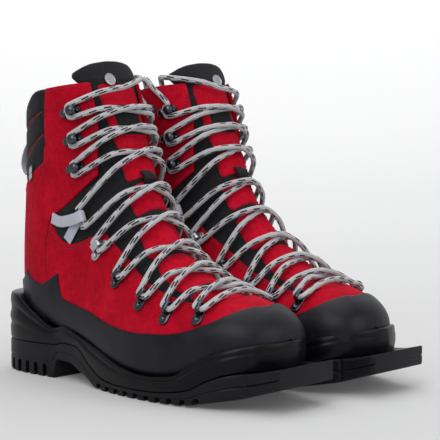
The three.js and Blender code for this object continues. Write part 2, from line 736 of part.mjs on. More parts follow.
// Points of one strand across the tongue between two neighbouring rows.
const underLift = -leatherThick - layerGap + laceRadius + 3.5 * laceGap;
const overLift = underLift + laceDiameter + laceGap;
function strand(fromRow, toRow, side, over) {
  const [t0, a0] = besideFitting(fromRow, side, 1);
  const [t1, a1] = besideFitting(toRow, -side, -1);
  const middle = over ? overLift : underLift;
  const lifts = [
    [0.2, over ? middle : laceLift - 0.3], [0.42, middle + 0.2],
    [0.58, middle + 0.2], [0.8, over ? middle : laceLift - 0.3],
  ];
  return lifts.map(([f, lift]) => skin(mix(t0, t1, f), mix(a0, a1, f), lift));
}

// One end of the lace, over the inner edge of the collar and down inside it: from the outer
// side it first crosses the tongue, from the inner side it goes straight up.
function tuckedEnd(side, over) {
  const [t0, a0] = besideFitting(rows[rows.length - 1], side, 1);
  const inside = -leatherThick - layerGap - liningThick - laceRadius - laceGap - 0.3;
  const middle = over ? overLift : underLift;
  const crossing = [
    [mix(t0, 15.3, 0.4), a0 * 0.62, mix(laceLift, middle, 0.3)], [mix(t0, 15.3, 0.7), a0 * 0.28, middle],
    [15.3, 0, middle], [15.75, -18, middle], [16.2, -36, laceRadius + laceGap],
  ];
  const climbing = [
    [mix(t0, 16.2, 0.4), a0 - 6, laceLift - 1], [mix(t0, 16.2, 0.75), a0 - 12, laceRadius + 4 * laceGap],
    [16.2, a0 - 16, laceRadius + 2 * laceGap],
  ];
  const edge = side > 0 ? -52 : a0 - 20;
  const tucked = [
    [16.5, edge, laceRadius], [16.62, edge - 10, -3], [16.45, edge - 15, inside + 1.5],
    [15.95, edge - 16, inside], [15.2, edge - 15, inside], [14.4, edge - 14, inside],
  ];
  const way = [...(side > 0 ? crossing : climbing), ...tucked];
  return way.map(([t, angle, off]) => skin(t, angle, off));
}

// The whole lace: up one way from the lowest row to one tucked end, and down the other way.
function lacePoints() {
  const climb = (start) => {
    let side = start;
    const points = [...lacedTurn(rows[0], side)];
    rows.slice(1).forEach((row, k) => {
      const over = start > 0 ? k % 2 === 0 : k % 2 === 1;
      points.push(...strand(rows[k], row, side, over));
      side = -side;
      points.push(...lacedTurn(row, side));
    });
    points.push(...tuckedEnd(side, start > 0));
    return points;
  };
  const [t, angle] = besideFitting(rows[0], 1, -1);
  const bar = [-0.7, -0.35, 0, 0.35, 0.7].map((f) => skin(t, f * angle, laceRadius + laceGap + 0.5));
  return [...climb(-1).reverse(), ...bar, ...climb(1)];
}

function makeLace() {
  const points = lacePoints();
  const sides = [];
  let side = new THREE.Vector3(0, 0, 1);
  points.forEach((p, i) => {
    const way = points[Math.min(i + 1, points.length - 1)].clone().sub(points[Math.max(i - 1, 0)]).normalize();
    side = side.clone().addScaledVector(way, -side.dot(way)).normalize();
    sides.push(side);
  });
  const section = Array.from({ length: 8 }, (_, k) => [
    laceRadius * Math.cos((k * Math.PI) / 4),
    laceRadius * Math.sin((k * Math.PI) / 4),
  ]);
  return sweep(points, sides, section);
}

const looks = {
  leather: [0xa81226, 0.75, 0],
  rubber: [0x2b2b2f, 0.6, 0],
  sole: [0x26262a, 0.7, 0],
  padding: [0x1d1d20, 0.85, 0],
  textile: [0x18181b, 0.9, 0],
  board: [0x8a7a5c, 0.8, 0],
  footbed: [0x3a3a3e, 0.9, 0],
  webbing: [0xb4b4c0, 0.6, 0],
  grip: [0x6e6e78, 0.7, 0],
  cord: [0xb4b0a8, 0.8, 0],
  gunmetal: [0x34363a, 0.3, 0.9],
};

const boot = new Map();
const put = (name, look, geometry) => boot.set(name, { look, geometry });

const liningInner = -leatherThick - layerGap - liningThick;
put("outsole", "sole", makeOutsole());
put("midsole", "rubber", makeMidsole());
put("rand", "rubber", makeRand());
put("vamp", "leather", makeVamp());
put("cuff", "leather", makeCuff());
put("collar_pad", "padding", makeCollarPad());
put("tongue", "leather", makeTongue());
put("lining", "textile", makeLining());
put("footbed", "footbed", makeUnderfoot(
  liningInner - 4 * seatGap - footbedThick, liningInner - 4 * seatGap, 31, soleStations.slice(2),
));
put("lasting_board", "board", makeUnderfoot(
  -leatherThick - layerGap + seatGap, -0.4, 36, soleStations.slice(1),
));
put("pull_loop", "grip", makePullLoop());
for (const [name, side] of [["outer", 1], ["inner", -1]]) {
  rows.forEach(({ kind, at: [t, angle] }, k) => {
    if (kind === "hook") put(`hook_${k - 5}_${name}`, "gunmetal", makeHook(t, side * angle));
    if (kind === "loop") put(`loop_${k + 1}_${name}`, "gunmetal", makeLoop(t, side * angle, loopWidth));
    if (kind === "lock") put(`lace_lock_${name}`, "gunmetal", makeLoop(t, side * angle, lockWidth));
    if (kind === "strap") put(`ankle_strap_${name}`, "webbing", makeStrap(side));
  });
}
put("lace", "cord", makeLace());

function placeBoot(prefix, mirrored, x, y) {
  const group = new THREE.Group();
  for (const [name, { look, geometry }] of boot) {
    const [color, roughness, metalness] = looks[look];
    const mesh = new THREE.Mesh(geometry, new THREE.MeshStandardMaterial({ color, roughness, metalness }));
    mesh.name = `${prefix}_${name}`;
    group.add(mesh);
  }
  group.scale.x = mirrored ? -1 : 1;
  group.position.set(x, y, 0);
  return group;
}

const pair = new THREE.Group();
pair.add(placeBoot("right", false, -bootSpacing / 2, 0));
pair.add(placeBoot("left", true, bootSpacing / 2, -bootStagger));
pair.updateMatrixWorld(true);

// The origin lies on the floor under the middle of the pair.
const middle = new THREE.Box3().setFromObject(pair).getCenter(new THREE.Vector3());
pair.position.set(-middle.x, -middle.y, 0);

export default pair;
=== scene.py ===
"""A pair of red nubuck ski-touring boots with black rubber rands and three-pin duckbill soles."""
import json
import math

import bpy
import numpy as np
from mathutils import Matrix, Vector
from mathutils.kdtree import KDTree

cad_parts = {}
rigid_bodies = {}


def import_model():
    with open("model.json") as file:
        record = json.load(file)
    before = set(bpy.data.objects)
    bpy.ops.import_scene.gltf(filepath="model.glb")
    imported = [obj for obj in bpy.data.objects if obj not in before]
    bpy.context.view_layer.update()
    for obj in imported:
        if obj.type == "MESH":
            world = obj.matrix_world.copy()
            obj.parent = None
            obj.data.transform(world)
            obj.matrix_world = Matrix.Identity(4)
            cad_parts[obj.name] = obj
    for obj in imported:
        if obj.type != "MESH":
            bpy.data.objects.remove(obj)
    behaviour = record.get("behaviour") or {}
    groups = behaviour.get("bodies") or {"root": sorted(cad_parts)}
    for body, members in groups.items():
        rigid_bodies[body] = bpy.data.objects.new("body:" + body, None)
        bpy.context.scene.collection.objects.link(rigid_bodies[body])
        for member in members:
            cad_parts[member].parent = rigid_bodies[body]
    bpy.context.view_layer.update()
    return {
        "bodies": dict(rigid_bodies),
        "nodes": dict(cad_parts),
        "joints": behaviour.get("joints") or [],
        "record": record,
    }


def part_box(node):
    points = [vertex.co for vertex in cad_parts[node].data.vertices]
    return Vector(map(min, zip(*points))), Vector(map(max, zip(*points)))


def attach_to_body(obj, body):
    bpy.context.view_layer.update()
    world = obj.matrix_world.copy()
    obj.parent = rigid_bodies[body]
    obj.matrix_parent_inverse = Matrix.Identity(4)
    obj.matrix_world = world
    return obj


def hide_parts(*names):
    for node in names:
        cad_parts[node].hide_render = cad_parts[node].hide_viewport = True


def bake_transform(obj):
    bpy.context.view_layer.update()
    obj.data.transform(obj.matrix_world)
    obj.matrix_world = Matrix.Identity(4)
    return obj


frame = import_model()

SIDES = ("right", "left")
FITTINGS = ("outer", "inner")

# The outsole's plan reaches 56.3 mm outward from the middle plane of its boot.
SOLE_REACH = 0.0563


def boot_place(side):
    """Middle plane and back of the heel of a boot, and which way its inner side faces."""
    low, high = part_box(f"{side}_outsole")
    if side == "right":
        return low.x + SOLE_REACH, high.y, 1
    return high.x - SOLE_REACH, high.y, -1


PLACES = {side: boot_place(side) for side in SIDES}


def in_row(side, points):
    """Boot millimetres (inward, back, up from the heel) to metres in the row frame."""
    x, y, way = PLACES[side]
    return np.asarray(points, float) * (way / 1000, 0.001, 0.001) + (x, y, 0)


# ---------------------------------------------------------------------------------------------
# The last: sections from the toe (0) over the instep to the collar (16) and the tongue tip (18).
# Each row: front point (forward, up), back or bottom point, half width, sideways shift, depth
# of the widest point, roundness in front and behind.

SECTIONS = np.array([
    [293.5, 50, 293.5, 44, 2, -4, 0.5, 2, 2],
    [291, 59, 291, 36, 17, -4, 0.54, 2.1, 2.6],
    [284, 67, 285, 34, 29, -3, 0.56, 2.2, 3.6],
    [270, 75, 272, 31, 38.5, -1.5, 0.6, 2.2, 4.6],
    [251, 81, 250, 24, 45, 1, 0.6, 2.1, 5.2],
    [228, 88, 222, 17.5, 48.3, 3.7, 0.6, 2, 5.2],
    [204, 101, 190, 16, 49.2, 5.3, 0.6, 1.95, 5.2],
    [184, 117, 152, 20, 46.5, 4.5, 0.6, 1.95, 4.6],
    [168, 136, 108, 32, 42.5, 1.5, 0.6, 2.1, 4.2],
    [157, 154, 60, 37, 39, 0, 0.58, 2.3, 3.6],
    [150, 169, 26, 42, 38, 0, 0.55, 2.5, 2.8],
    [144, 184, 11, 62, 38, 0, 0.52, 2.7, 2.15],
    [137, 199, 8, 96, 38, 0, 0.5, 2.8, 1.95],
    [131, 213, 12, 138, 39, 0, 0.5, 2.8, 1.93],
    [125, 226, 16, 176, 40, 0, 0.5, 2.8, 1.9],
    [120, 236, 18, 208, 41, 0, 0.5, 2.8, 1.9],
    [116, 245, 19, 232, 41, 0, 0.5, 2.8, 1.9],
    [112, 254, 20, 250, 41, 0, 0.5, 2.8, 2.3],
    [108, 263, 20, 268, 40, 0, 0.5, 2.8, 2.3],
])
LAST = len(SECTIONS) - 1

THROAT_EDGE = [
    [0, 40], [2.6, 30], [3.9, 14], [4.3, 30], [4.9, 41], [5.44, 44], [6.4, 48], [7.46, 50.8],
    [8.1, 54], [8.94, 57], [11.2, 49.5], [12.14, 46], [13.42, 40], [15.17, 37], [18, 36],
]
RAND_EDGE = [
    [0, 45], [1.2, 40], [1.9, 28], [2.84, 10], [2.94, 16], [3.13, 32], [3.93, 62], [4.84, 77],
    [5.87, 86.7], [6.89, 97.3], [7.61, 104.5], [8.94, 110], [9.61, 95.9], [9.96, 111], [11.05, 126],
]
COLLAR_TOP = [[0, 16], [100, 16], [125, 15.6], [150, 15.25], [180, 15.2]]
TONGUE_HALF = [[16, 42], [16.3, 56], [16.75, 55], [17.25, 45], [17.7, 31], [17.95, 12]]
CORNER = 135  # angle where the side of the upper turns under the foot
APEX = 0.49  # share of the side where the ankle notch comes to its point

# Lace fittings from the toe up: kind, section, angle.
ROWS = [
    ("loop", 4.34, 50.5), ("loop", 5.35, 59.5), ("loop", 6.28, 61), ("loop", 7.43, 64),
    ("lock", 8.65, 64.5), ("strap", 10.24, 64),
    ("hook", 11.98, 59.6), ("hook", 13.06, 57.9), ("hook", 14.31, 55.4),
]

# Layers of the upper, in millimetres; the offsets are from its outer face, outward.
LEATHER = 2.4
LEATHER_RIM = 0.9  # rounding of a cut leather edge
LINING = (-4.2, -7.2)
PATCH_FACE = -3.1  # thread on the tongue panels
FAR = 99.0  # farther than any rim is rounded

LACE_RADIUS = 2.3
LACE_LIFT = 0.6 + 1 + 2.5 * 0.4 + LACE_RADIUS
LEG_MIDDLE = -6
TURN_REACH = 4.8


def eased(a, b, m, n, f):
    """Cubic from a to b at share f, with slope m at its start and n at its end."""
    return a + f * (m + f * (3 * (b - a) - 2 * m - n + f * (2 * (a - b) + m + n)))


def straight(table, x, column=1):
    """Straight-line reading of a table."""
    rows = np.asarray(table, float)
    return np.interp(x, rows[:, 0], rows[:, column])


def rise(x, start, length):
    """0 up to start, then growing to 1 over a length."""
    return np.clip((x - start) / length, 0, 1)


def smooth(share):
    return share * share * (3 - 2 * share)


def bell(x, middle, width, power=2):
    return np.exp(-(((x - middle) / width) ** power))


def flow(table, x):
    """Smooth reading of a table that doesn't overshoot its rows."""
    xs, ys = np.asarray(table, float).T
    step = np.diff(xs)
    slope = np.diff(ys) / step
    same = slope[:-1] * slope[1:] > 0
    total = np.where(same, slope[:-1] + slope[1:], 1)
    lean = np.concatenate([slope[:1], np.where(same, 2 * slope[:-1] * slope[1:] / total, 0), slope[-1:]])
    x = np.asarray(x, float)
    i = np.clip(np.searchsorted(xs, x) - 1, 0, len(step) - 1)
    return eased(ys[i], ys[i + 1], lean[i] * step[i], lean[i + 1] * step[i], rise(x, xs[i], step[i]))


def between(table, i, f):
    """Row at share f between rows i and i + 1 of a table, on a smooth curve through all its rows."""
    padded = np.vstack([2 * table[0] - table[1], table, 2 * table[-1] - table[-2]])
    a, b, d, e = padded[i], padded[i + 1], padded[i + 2], padded[i + 3]
    return eased(b, d, (d - a) / 2, (e - b) / 2, f)


def through(rows, count):
    """Rows of a table joined by a smooth curve, with `count` steps between neighbours."""
    table = np.asarray(rows, float)
    at = np.linspace(0, len(table) - 1, (len(table) - 1) * count + 1)
    i = np.minimum(at.astype(int), len(table) - 2)
    return between(table, i, (at - i)[:, None])


def section_at(t):
    t = np.clip(np.asarray(t, float), 0, LAST)
    i = np.minimum(t.astype(int), LAST - 1)
    return between(SECTIONS, i, (t - i)[..., None])


def on_last(t, angle):
    """Point of the upper's outer face: station along the foot, angle from the middle line."""
    t, angle = np.broadcast_arrays(np.asarray(t, float), np.asarray(angle, float))
    fs, fz, bs, bz, w, c, m, front, behind = np.moveaxis(section_at(t), -1, 0)
    co, si = np.cos(np.radians(angle)), np.sin(np.radians(angle))
    n = np.where(co > 0, front, behind)
    r = (np.abs(co) ** n + np.abs(si) ** n) ** (-1 / n)
    u = np.where(co > 0, m * (1 - co * r), m - (1 - m) * co * r)
    return np.stack([-(c + w * si * r), -(fs + (bs - fs) * u), fz + (bz - fz) * u], -1)


def unit(v):
    return v / np.maximum(np.linalg.norm(v, axis=-1, keepdims=True), 1e-12)


def facing(t, angle):
    """Directions on the outer face: along the stations and outward."""
    t, angle = np.broadcast_arrays(np.asarray(t, float), np.asarray(angle, float))
    low, high = np.maximum(t - 0.002, 0), np.minimum(t + 0.002, LAST)
    along = unit(on_last(high, angle) - on_last(low, angle))
    around = unit(on_last(t, angle + 0.05) - on_last(t, angle - 0.05))
    return along, unit(np.cross(along, around))


def skin(t, angle, off):
    return on_last(t, angle) + facing(t, angle)[1] * np.asarray(off, float)[..., None]


def travelled(points):
    """Length covered on the way to each point of a path, or to each row of a grid."""
    steps = np.linalg.norm(np.diff(points, axis=0), axis=-1)
    return np.concatenate([np.zeros_like(steps[:1]), np.cumsum(steps, 0)])


# ---------------------------------------------------------------------------------------------
# Mesh making. A shape is (points in boot millimetres, faces, uv of each point in centimetres).

def tidied(points, faces, uv=None):
    """Drops unused points and turns the faces outward."""
    flat = np.array(sorted({k for face in faces for k in face}))
    new = -np.ones(len(points), int)
    new[flat] = np.arange(len(flat))
    points = np.asarray(points, float)[flat]
    faces = [tuple(new[k] for k in face) for face in faces]
    if uv is not None:
        uv = np.asarray(uv, float)[flat]
    volume = 0.0
    for face in faces:
        for k in range(1, len(face) - 1):
            volume += points[face[0]] @ np.cross(points[face[k]], points[face[k + 1]])
    if volume < 0:
        faces = [face[::-1] for face in faces]
    return points, faces, uv


def joined(shapes):
    """Several shapes as one."""
    points, faces, uvs, base = [], [], [], 0
    for p, f, uv in shapes:
        points.append(p)
        uvs.append(np.zeros((len(p), 2)) if uv is None else uv)
        faces += [tuple(k + base for k in face) for face in f]
        base += len(p)
    return np.vstack(points), faces, np.vstack(uvs)


def quads_of(ids):
    corner = ids[:-1, :-1], ids[:-1, 1:], ids[1:, 1:], ids[1:, :-1]
    return np.stack([c.ravel() for c in corner], 1)


def tube(rings, capped=True):
    """Points and faces of a surface through closed rings, each the same number of points."""
    rings = np.asarray(rings, float)
    ids = np.arange(rings.shape[0] * rings.shape[1]).reshape(rings.shape[:2])
    faces = [tuple(q) for q in quads_of(np.hstack([ids, ids[:, :1]]))]
    if capped:
        faces += [tuple(ids[0][::-1]), tuple(ids[-1])]
    return rings.reshape(-1, 3), faces


def grid_of(t0, t1, rows, angle0, angle1, cols):
    """Stations and angles of an even grid."""
    return np.meshgrid(np.linspace(t0, t1, rows), np.linspace(angle0, angle1, cols), indexing="ij")


def sheet(t, angle, outer, inner, keep=True, edge=LEATHER_RIM, inner_edge=0.0, wrap=False):
    """Leather, rubber or padding that follows the last, between two offsets, with rounded rims."""
    rows, cols = t.shape
    ids = np.arange(rows * cols).reshape(rows, cols)
    if wrap:
        ids[:, -1] = ids[:, 0]
    quads = quads_of(ids)[np.broadcast_to(keep, (rows - 1, cols - 1)).ravel()]
    edges = np.concatenate([quads[:, [k, (k + 1) % 4]] for k in range(4)])
    key = edges[:, 0] * rows * cols + edges[:, 1]
    back = edges[:, 1] * rows * cols + edges[:, 0]
    rim = edges[~np.isin(key, back)]
    base, out = on_last(t, angle).reshape(-1, 3), facing(t, angle)[1].reshape(-1, 3)
    tree = KDTree(len(rim))
    for k, (a, _) in enumerate(rim):
        tree.insert(base[a], k)
    tree.balance()
    used = np.unique(quads)
    near = np.full(len(base), FAR)
    near[used] = [tree.find(base[k])[2] for k in used]

    def drop(radius):
        inside = np.clip(radius - near, 0, radius)
        return radius - np.sqrt(np.maximum(radius**2 - inside**2, 0))

    outer = np.broadcast_to(outer, t.shape).ravel() - drop(edge)
    inner = np.broadcast_to(inner, t.shape).ravel() + drop(inner_edge)
    points = np.vstack([base + out * outer[:, None], base + out * inner[:, None]])
    n = len(base)
    faces = [tuple(q) for q in quads] + [tuple(q[::-1] + n) for q in quads]
    faces += [(b, a, a + n, b + n) for a, b in rim]
    grid = base.reshape(rows, cols, 3)
    down, over = travelled(grid), travelled(grid.swapaxes(0, 1)).T
    uv = np.stack([(over - over[:, [cols // 2]]).ravel(), down.ravel()], 1) / 10
    return tidied(points, faces, np.vstack([uv, uv]))


def sweep(points, sides, section, round_ends=0):
    """Section (width, height) carried along points; `sides` gives the direction of its width."""
    points, sides, section = (np.asarray(part, float) for part in (points, sides, section))
    way = unit(np.gradient(points, axis=0))
    side = unit(sides - way * np.sum(sides * way, axis=1, keepdims=True))
    up = np.cross(way, side)
    length = travelled(points)
    size = np.ones(len(points))
    if round_ends:
        gap = np.minimum(length, length[-1] - length)
        size = np.sqrt(np.clip(1 - (1 - np.minimum(gap / round_ends, 1)) ** 2, 0.02, 1))
    rings = (points[:, None] + side[:, None] * section[None, :, :1] * size[:, None, None]
             + up[:, None] * section[None, :, 1:] * size[:, None, None])
    turn = np.linspace(0, 1, len(section), endpoint=False)
    uv = np.stack([np.repeat(length / 10, len(section)), np.tile(turn, len(points))], 1)
    return tidied(*tube(rings), uv)


def steady_sides(points):
    """A width direction that twists as little as it can along a path."""
    side, out = np.array([0.0, 0, 1]), []
    for way in unit(np.gradient(np.asarray(points, float), axis=0)):
        side = unit(side - way * (side @ way))
        out.append(side)
    return np.array(out)


def circle(count):
    turn = np.linspace(0, 2 * np.pi, count, endpoint=False)
    return np.cos(turn), np.sin(turn)


def ellipse(wide, high, count=14):
    co, si = circle(count)
    return np.stack([wide / 2 * co, high / 2 * si], 1)


def soft_box(wide, high, power=5, count=24):
    """Section of a flat strap: a rectangle with soft corners."""
    co, si = circle(count)
    r = (np.abs(co) ** power + np.abs(si) ** power) ** (-1 / power)
    return np.stack([wide / 2 * co * r, high / 2 * si * r], 1)


def ring(x, y, radius, z, count):
    co, si = circle(count)
    return np.stack([x + radius * co, y + radius * si, np.full(count, z)], 1)


def turned(profile, count=28):
    """Round part from a (radius, height) profile that starts and ends on the axis."""
    points, faces = tube([ring(0, 0, r, h, count) for r, h in profile if r > 1e-6], capped=False)
    low, high, last = len(points), len(points) + 1, len(points) - count
    faces += [(low, (k + 1) % count, k) for k in range(count)]
    faces += [(high, last + k, last + (k + 1) % count) for k in range(count)]
    return tidied(np.vstack([points, [[0, 0, profile[0][1]], [0, 0, profile[-1][1]]]]), faces)


def moved(shape, shift):
    points, faces, uv = shape
    return points + np.array(shift), faces, uv


def fitting_frame(t, angle):
    """Origin and directions of a fitting: away from the throat, up the throat, outward."""
    along, out = facing(t, angle)
    away = unit(np.cross(along, out) * -np.sign(angle))
    return on_last(t, angle), away, along, out


def settled(shape, t, angle):
    """A shape built with x away from the throat, y up it and z outward, put on the upper."""
    origin, away, along, out = fitting_frame(t, angle)
    points, faces, uv = shape
    return tidied(origin + points @ np.array([away, along, out]), faces, uv)


def linked(name, data):
    made = bpy.data.objects.new(name, data)
    bpy.context.scene.collection.objects.link(made)
    return made


def shade_smooth(mesh, sharp):
    """Smooth shading, with hard edges where faces meet at more than `sharp` degrees."""
    mesh.polygons.foreach_set("use_smooth", [True] * len(mesh.polygons))
    mesh.set_sharp_from_angle(angle=math.radians(sharp))


def mesh_piece(name, side, shape, finish, sharp=50):
    points, faces, uv = shape
    mesh = bpy.data.meshes.new(name)
    order = faces if PLACES[side][2] > 0 else [face[::-1] for face in faces]
    mesh.from_pydata(in_row(side, points).tolist(), [], [[int(k) for k in face] for face in order])
    if uv is not None:
        layer = mesh.uv_layers.new(name="UVMap")
        corner = np.empty(len(mesh.loops), np.int32)
        mesh.loops.foreach_get("vertex_index", corner)
        layer.data.foreach_set("uv", np.asarray(uv, np.float32)[corner].ravel())
    shade_smooth(mesh, sharp)
    mesh.materials.append(finish)
    mesh.validate()
    return linked(name, mesh)


def cut(piece, cutters):
    """Takes closed meshes out of a piece and keeps the result as its mesh."""
    for cutter in cutters:
        step = piece.modifiers.new("cut", "BOOLEAN")
        step.operation, step.solver, step.object = "DIFFERENCE", "MANIFOLD", cutter
    bpy.context.view_layer.update()
    graph = bpy.context.evaluated_depsgraph_get()
    mesh = bpy.data.meshes.new_from_object(piece.evaluated_get(graph))
    piece.modifiers.clear()
    piece.data = mesh
    shade_smooth(mesh, 35)
    for cutter in cutters:
        bpy.data.objects.remove(cutter)


def attach(piece, side, part, nodes=()):
    if part in ("boot", "cuff"):
        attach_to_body(piece, f"{side}_{part}")
    else:
        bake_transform(piece)
    if nodes:
        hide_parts(*[f"{side}_{node}" for node in nodes])
    return piece


def both(name, shape, finish, part, nodes=(), sharp=50):
    """The same piece on the right boot and, mirrored, on the left one."""
    made = [mesh_piece(f"{side}_{name}", side, shape, finish, sharp) for side in SIDES]
    return [attach(piece, side, part, nodes) for side, piece in zip(SIDES, made)]


# ---------------------------------------------------------------------------------------------
# Finishes

def linear(code):
    """sRGB hex to linear RGBA."""
    parts = [int(code[k:k + 2], 16) / 255 for k in (1, 3, 5)]
    return tuple(c / 12.92 if c <= 0.04045 else ((c + 0.055) / 1.055) ** 2.4 for c in parts) + (1,)


def add(tree, kind, settings=(), links=()):
    """Adds a node, sets its properties and sockets, and links its inputs."""
    made = tree.nodes.new("ShaderNode" + kind)
    for key, value in dict(settings).items():
        if isinstance(key, str) and hasattr(made, key):
            setattr(made, key, value)
        else:
            made.inputs[key].default_value = value
    for key, source in dict(links).items():
        tree.links.new(source, made.inputs[key])
    return made


def finish_of(name, sockets):
    """A new material with a Principled shader; returns the material, its tree and the shader."""
    material = bpy.data.materials.new(name)
    material.use_nodes = True
    tree = material.node_tree
    tree.nodes.clear()
    shader = add(tree, "BsdfPrincipled", sockets)
    add(tree, "OutputMaterial", (), {"Surface": shader.outputs[0]})
    return material, tree, shader


def spot_of(tree, kind="Object"):
    return add(tree, "TexCoord").outputs[kind]


def noise(tree, scale, detail=2.0, roughness=0.5):
    settings = {"Scale": scale, "Detail": detail, "Roughness": roughness}
    return add(tree, "TexNoise", settings, {"Vector": spot_of(tree)}).outputs[0]


def mix(tree, share, a, b):
    return add(tree, "Mix", {"data_type": "FLOAT", 0: share}, {2: a, 3: b}).outputs[0]


def spread(tree, source, settings):
    return add(tree, "MapRange", settings, {"Value": source}).outputs[0]


def emboss(tree, shader, strength, distance, height):
    """Fine relief of a surface, from a pattern of heights."""
    bump = add(tree, "Bump", {"Strength": strength, "Distance": distance}, {"Height": height})
    tree.links.new(bump.outputs[0], shader.inputs["Normal"])


def ramp(tree, source, stops):
    """Colour ramp through (position, hex) stops."""
    made = add(tree, "ValToRGB", (), {0: source})
    line = made.color_ramp
    while len(line.elements) < len(stops):
        line.elements.new(0.5)
    for spot, (place, code) in zip(line.elements, stops):
        spot.position, spot.color = place, linear(code)
    return made.outputs[0]


def paint(tree, shader, source, stops):
    tree.links.new(ramp(tree, source, stops), shader.inputs["Base Color"])


def threads(tree, spacing, way, place):
    """Waves `spacing` mm apart: UV is in centimetres, and a wave repeats every 2 pi / (20 * scale)."""
    settings = {"Scale": 10 / spacing * 2 * math.pi / 20, "bands_direction": way}
    return add(tree, "TexWave", settings, {"Vector": place}).outputs[1]


def nubuck(name, dark, middle, light):
    """Sanded cowhide: a dull, slightly cloudy colour with a short nap that catches grazing light."""
    made, tree, shader = finish_of(name, {
        "Roughness": 0.86, "IOR": 1.45, "Sheen Weight": 0.12, "Sheen Roughness": 0.4,
        "Sheen Tint": linear("#C03A44"), "Specular IOR Level": 0.12,
    })
    # Hand-size clouds of 25 mm, rub marks of 5 mm and a nap drawn at 0.9 mm, three times real size.
    cloud, rub, nap = noise(tree, 40, 4, 0.6), noise(tree, 210, 5, 0.7), noise(tree, 1100, 3, 0.65)
    speckled = mix(tree, 0.28, mix(tree, 0.45, cloud, rub), nap)
    paint(tree, shader, speckled, [(0.3, dark), (0.5, middle), (0.7, light)])
    pores = add(tree, "TexVoronoi", {"Scale": 700}, {"Vector": spot_of(tree)}).outputs[0]
    emboss(tree, shader, 0.35, 0.0005, mix(tree, 0.4, nap, pores))
    return made


def rubber(name, dark, light, rough, shine=0.2, grain=1500):
    """Moulded, satin rubber: nearly black with broad soft highlights, a fine grain and faint scuffs."""
    made, tree, shader = finish_of(name, {"IOR": 1.52, "Specular IOR Level": shine})
    cloud = noise(tree, 55, 5, 0.65)
    paint(tree, shader, cloud, [(0.35, dark), (0.65, light)])
    worn = spread(tree, cloud, {"To Min": rough - 0.07, "To Max": rough + 0.1})
    tree.links.new(worn, shader.inputs["Roughness"])
    emboss(tree, shader, 0.12, 0.0003, noise(tree, grain))
    return made


def woven(name, dark, light, thread, rough=0.85, depth=0.5):
    """Plain-weave nylon: crossing threads of `thread` mm, drawn no finer than they can show, painted darker
    in the gaps between threads as painted shade, with random tone mixed in.
    """
    made, tree, shader = finish_of(name, {
        "Roughness": rough, "IOR": 1.53, "Sheen Weight": 0.05, "Sheen Roughness": 0.4,
        "Specular IOR Level": 0.25,
    })
    waves = {k: threads(tree, thread, way, spot_of(tree, "UV")) for k, way in enumerate("XY")}
    weave = add(tree, "Math", {"operation": "MULTIPLY"}, waves).outputs[0]
    # The colour follows the weave's relief: painted shade in the gaps between threads, mixed with random
    # tone.
    paint(tree, shader, mix(tree, 0.4, weave, noise(tree, 300, 4)), [(0.15, dark), (0.6, light)])
    emboss(tree, shader, depth, 0.0004, weave)
    return made


def steel(name, code, rough):
    """Plated steel: dark, glossy and slightly cloudy, with small sharp reflections."""
    made, tree, shader = finish_of(name, {"Metallic": 1.0, "Base Color": linear(code)})
    cloud = noise(tree, 500, 4)
    shine = spread(tree, cloud, {"To Min": rough - 0.06, "To Max": rough + 0.1})
    tree.links.new(shine, shader.inputs["Roughness"])
    emboss(tree, shader, 0.06, 0.0002, cloud)
    return made


def banded(name, middle, border, width):
    """Webbing with a light reflective middle between dark woven borders, ribbed every 1.4 mm."""
    made, tree, shader = finish_of(name, {"Roughness": 0.5, "IOR": 1.5, "Sheen Weight": 0.15})
    uv = spot_of(tree, "UV")
    apart = add(tree, "SeparateXYZ", (), {0: uv})
    # The section starts at one edge of the band and runs round it, so a cosine gives the place across.
    turn = add(tree, "Math", {"operation": "MULTIPLY", 1: 2 * math.pi}, {0: apart.outputs[1]}).outputs[0]
    across = add(tree, "Math", {"operation": "COSINE"}, {0: turn}).outputs[0]
    from_middle = add(tree, "Math", {"operation": "ABSOLUTE"}, {0: across}).outputs[0]
    edge = spread(tree, from_middle, {"From Min": width, "From Max": width + 0.06})
    tones = {"data_type": "RGBA", 6: linear(middle), 7: linear(border)}
    tone = add(tree, "Mix", tones, {0: edge}).outputs[2]
    dust = {"data_type": "RGBA", "blend_type": "MULTIPLY", 0: 0.35}
    dusty = add(tree, "Mix", dust, {6: tone, 7: noise(tree, 900, 3)}).outputs[2]
    tree.links.new(dusty, shader.inputs["Base Color"])
    emboss(tree, shader, 0.3, 0.0003, threads(tree, 1.4, "X", uv))
    return made


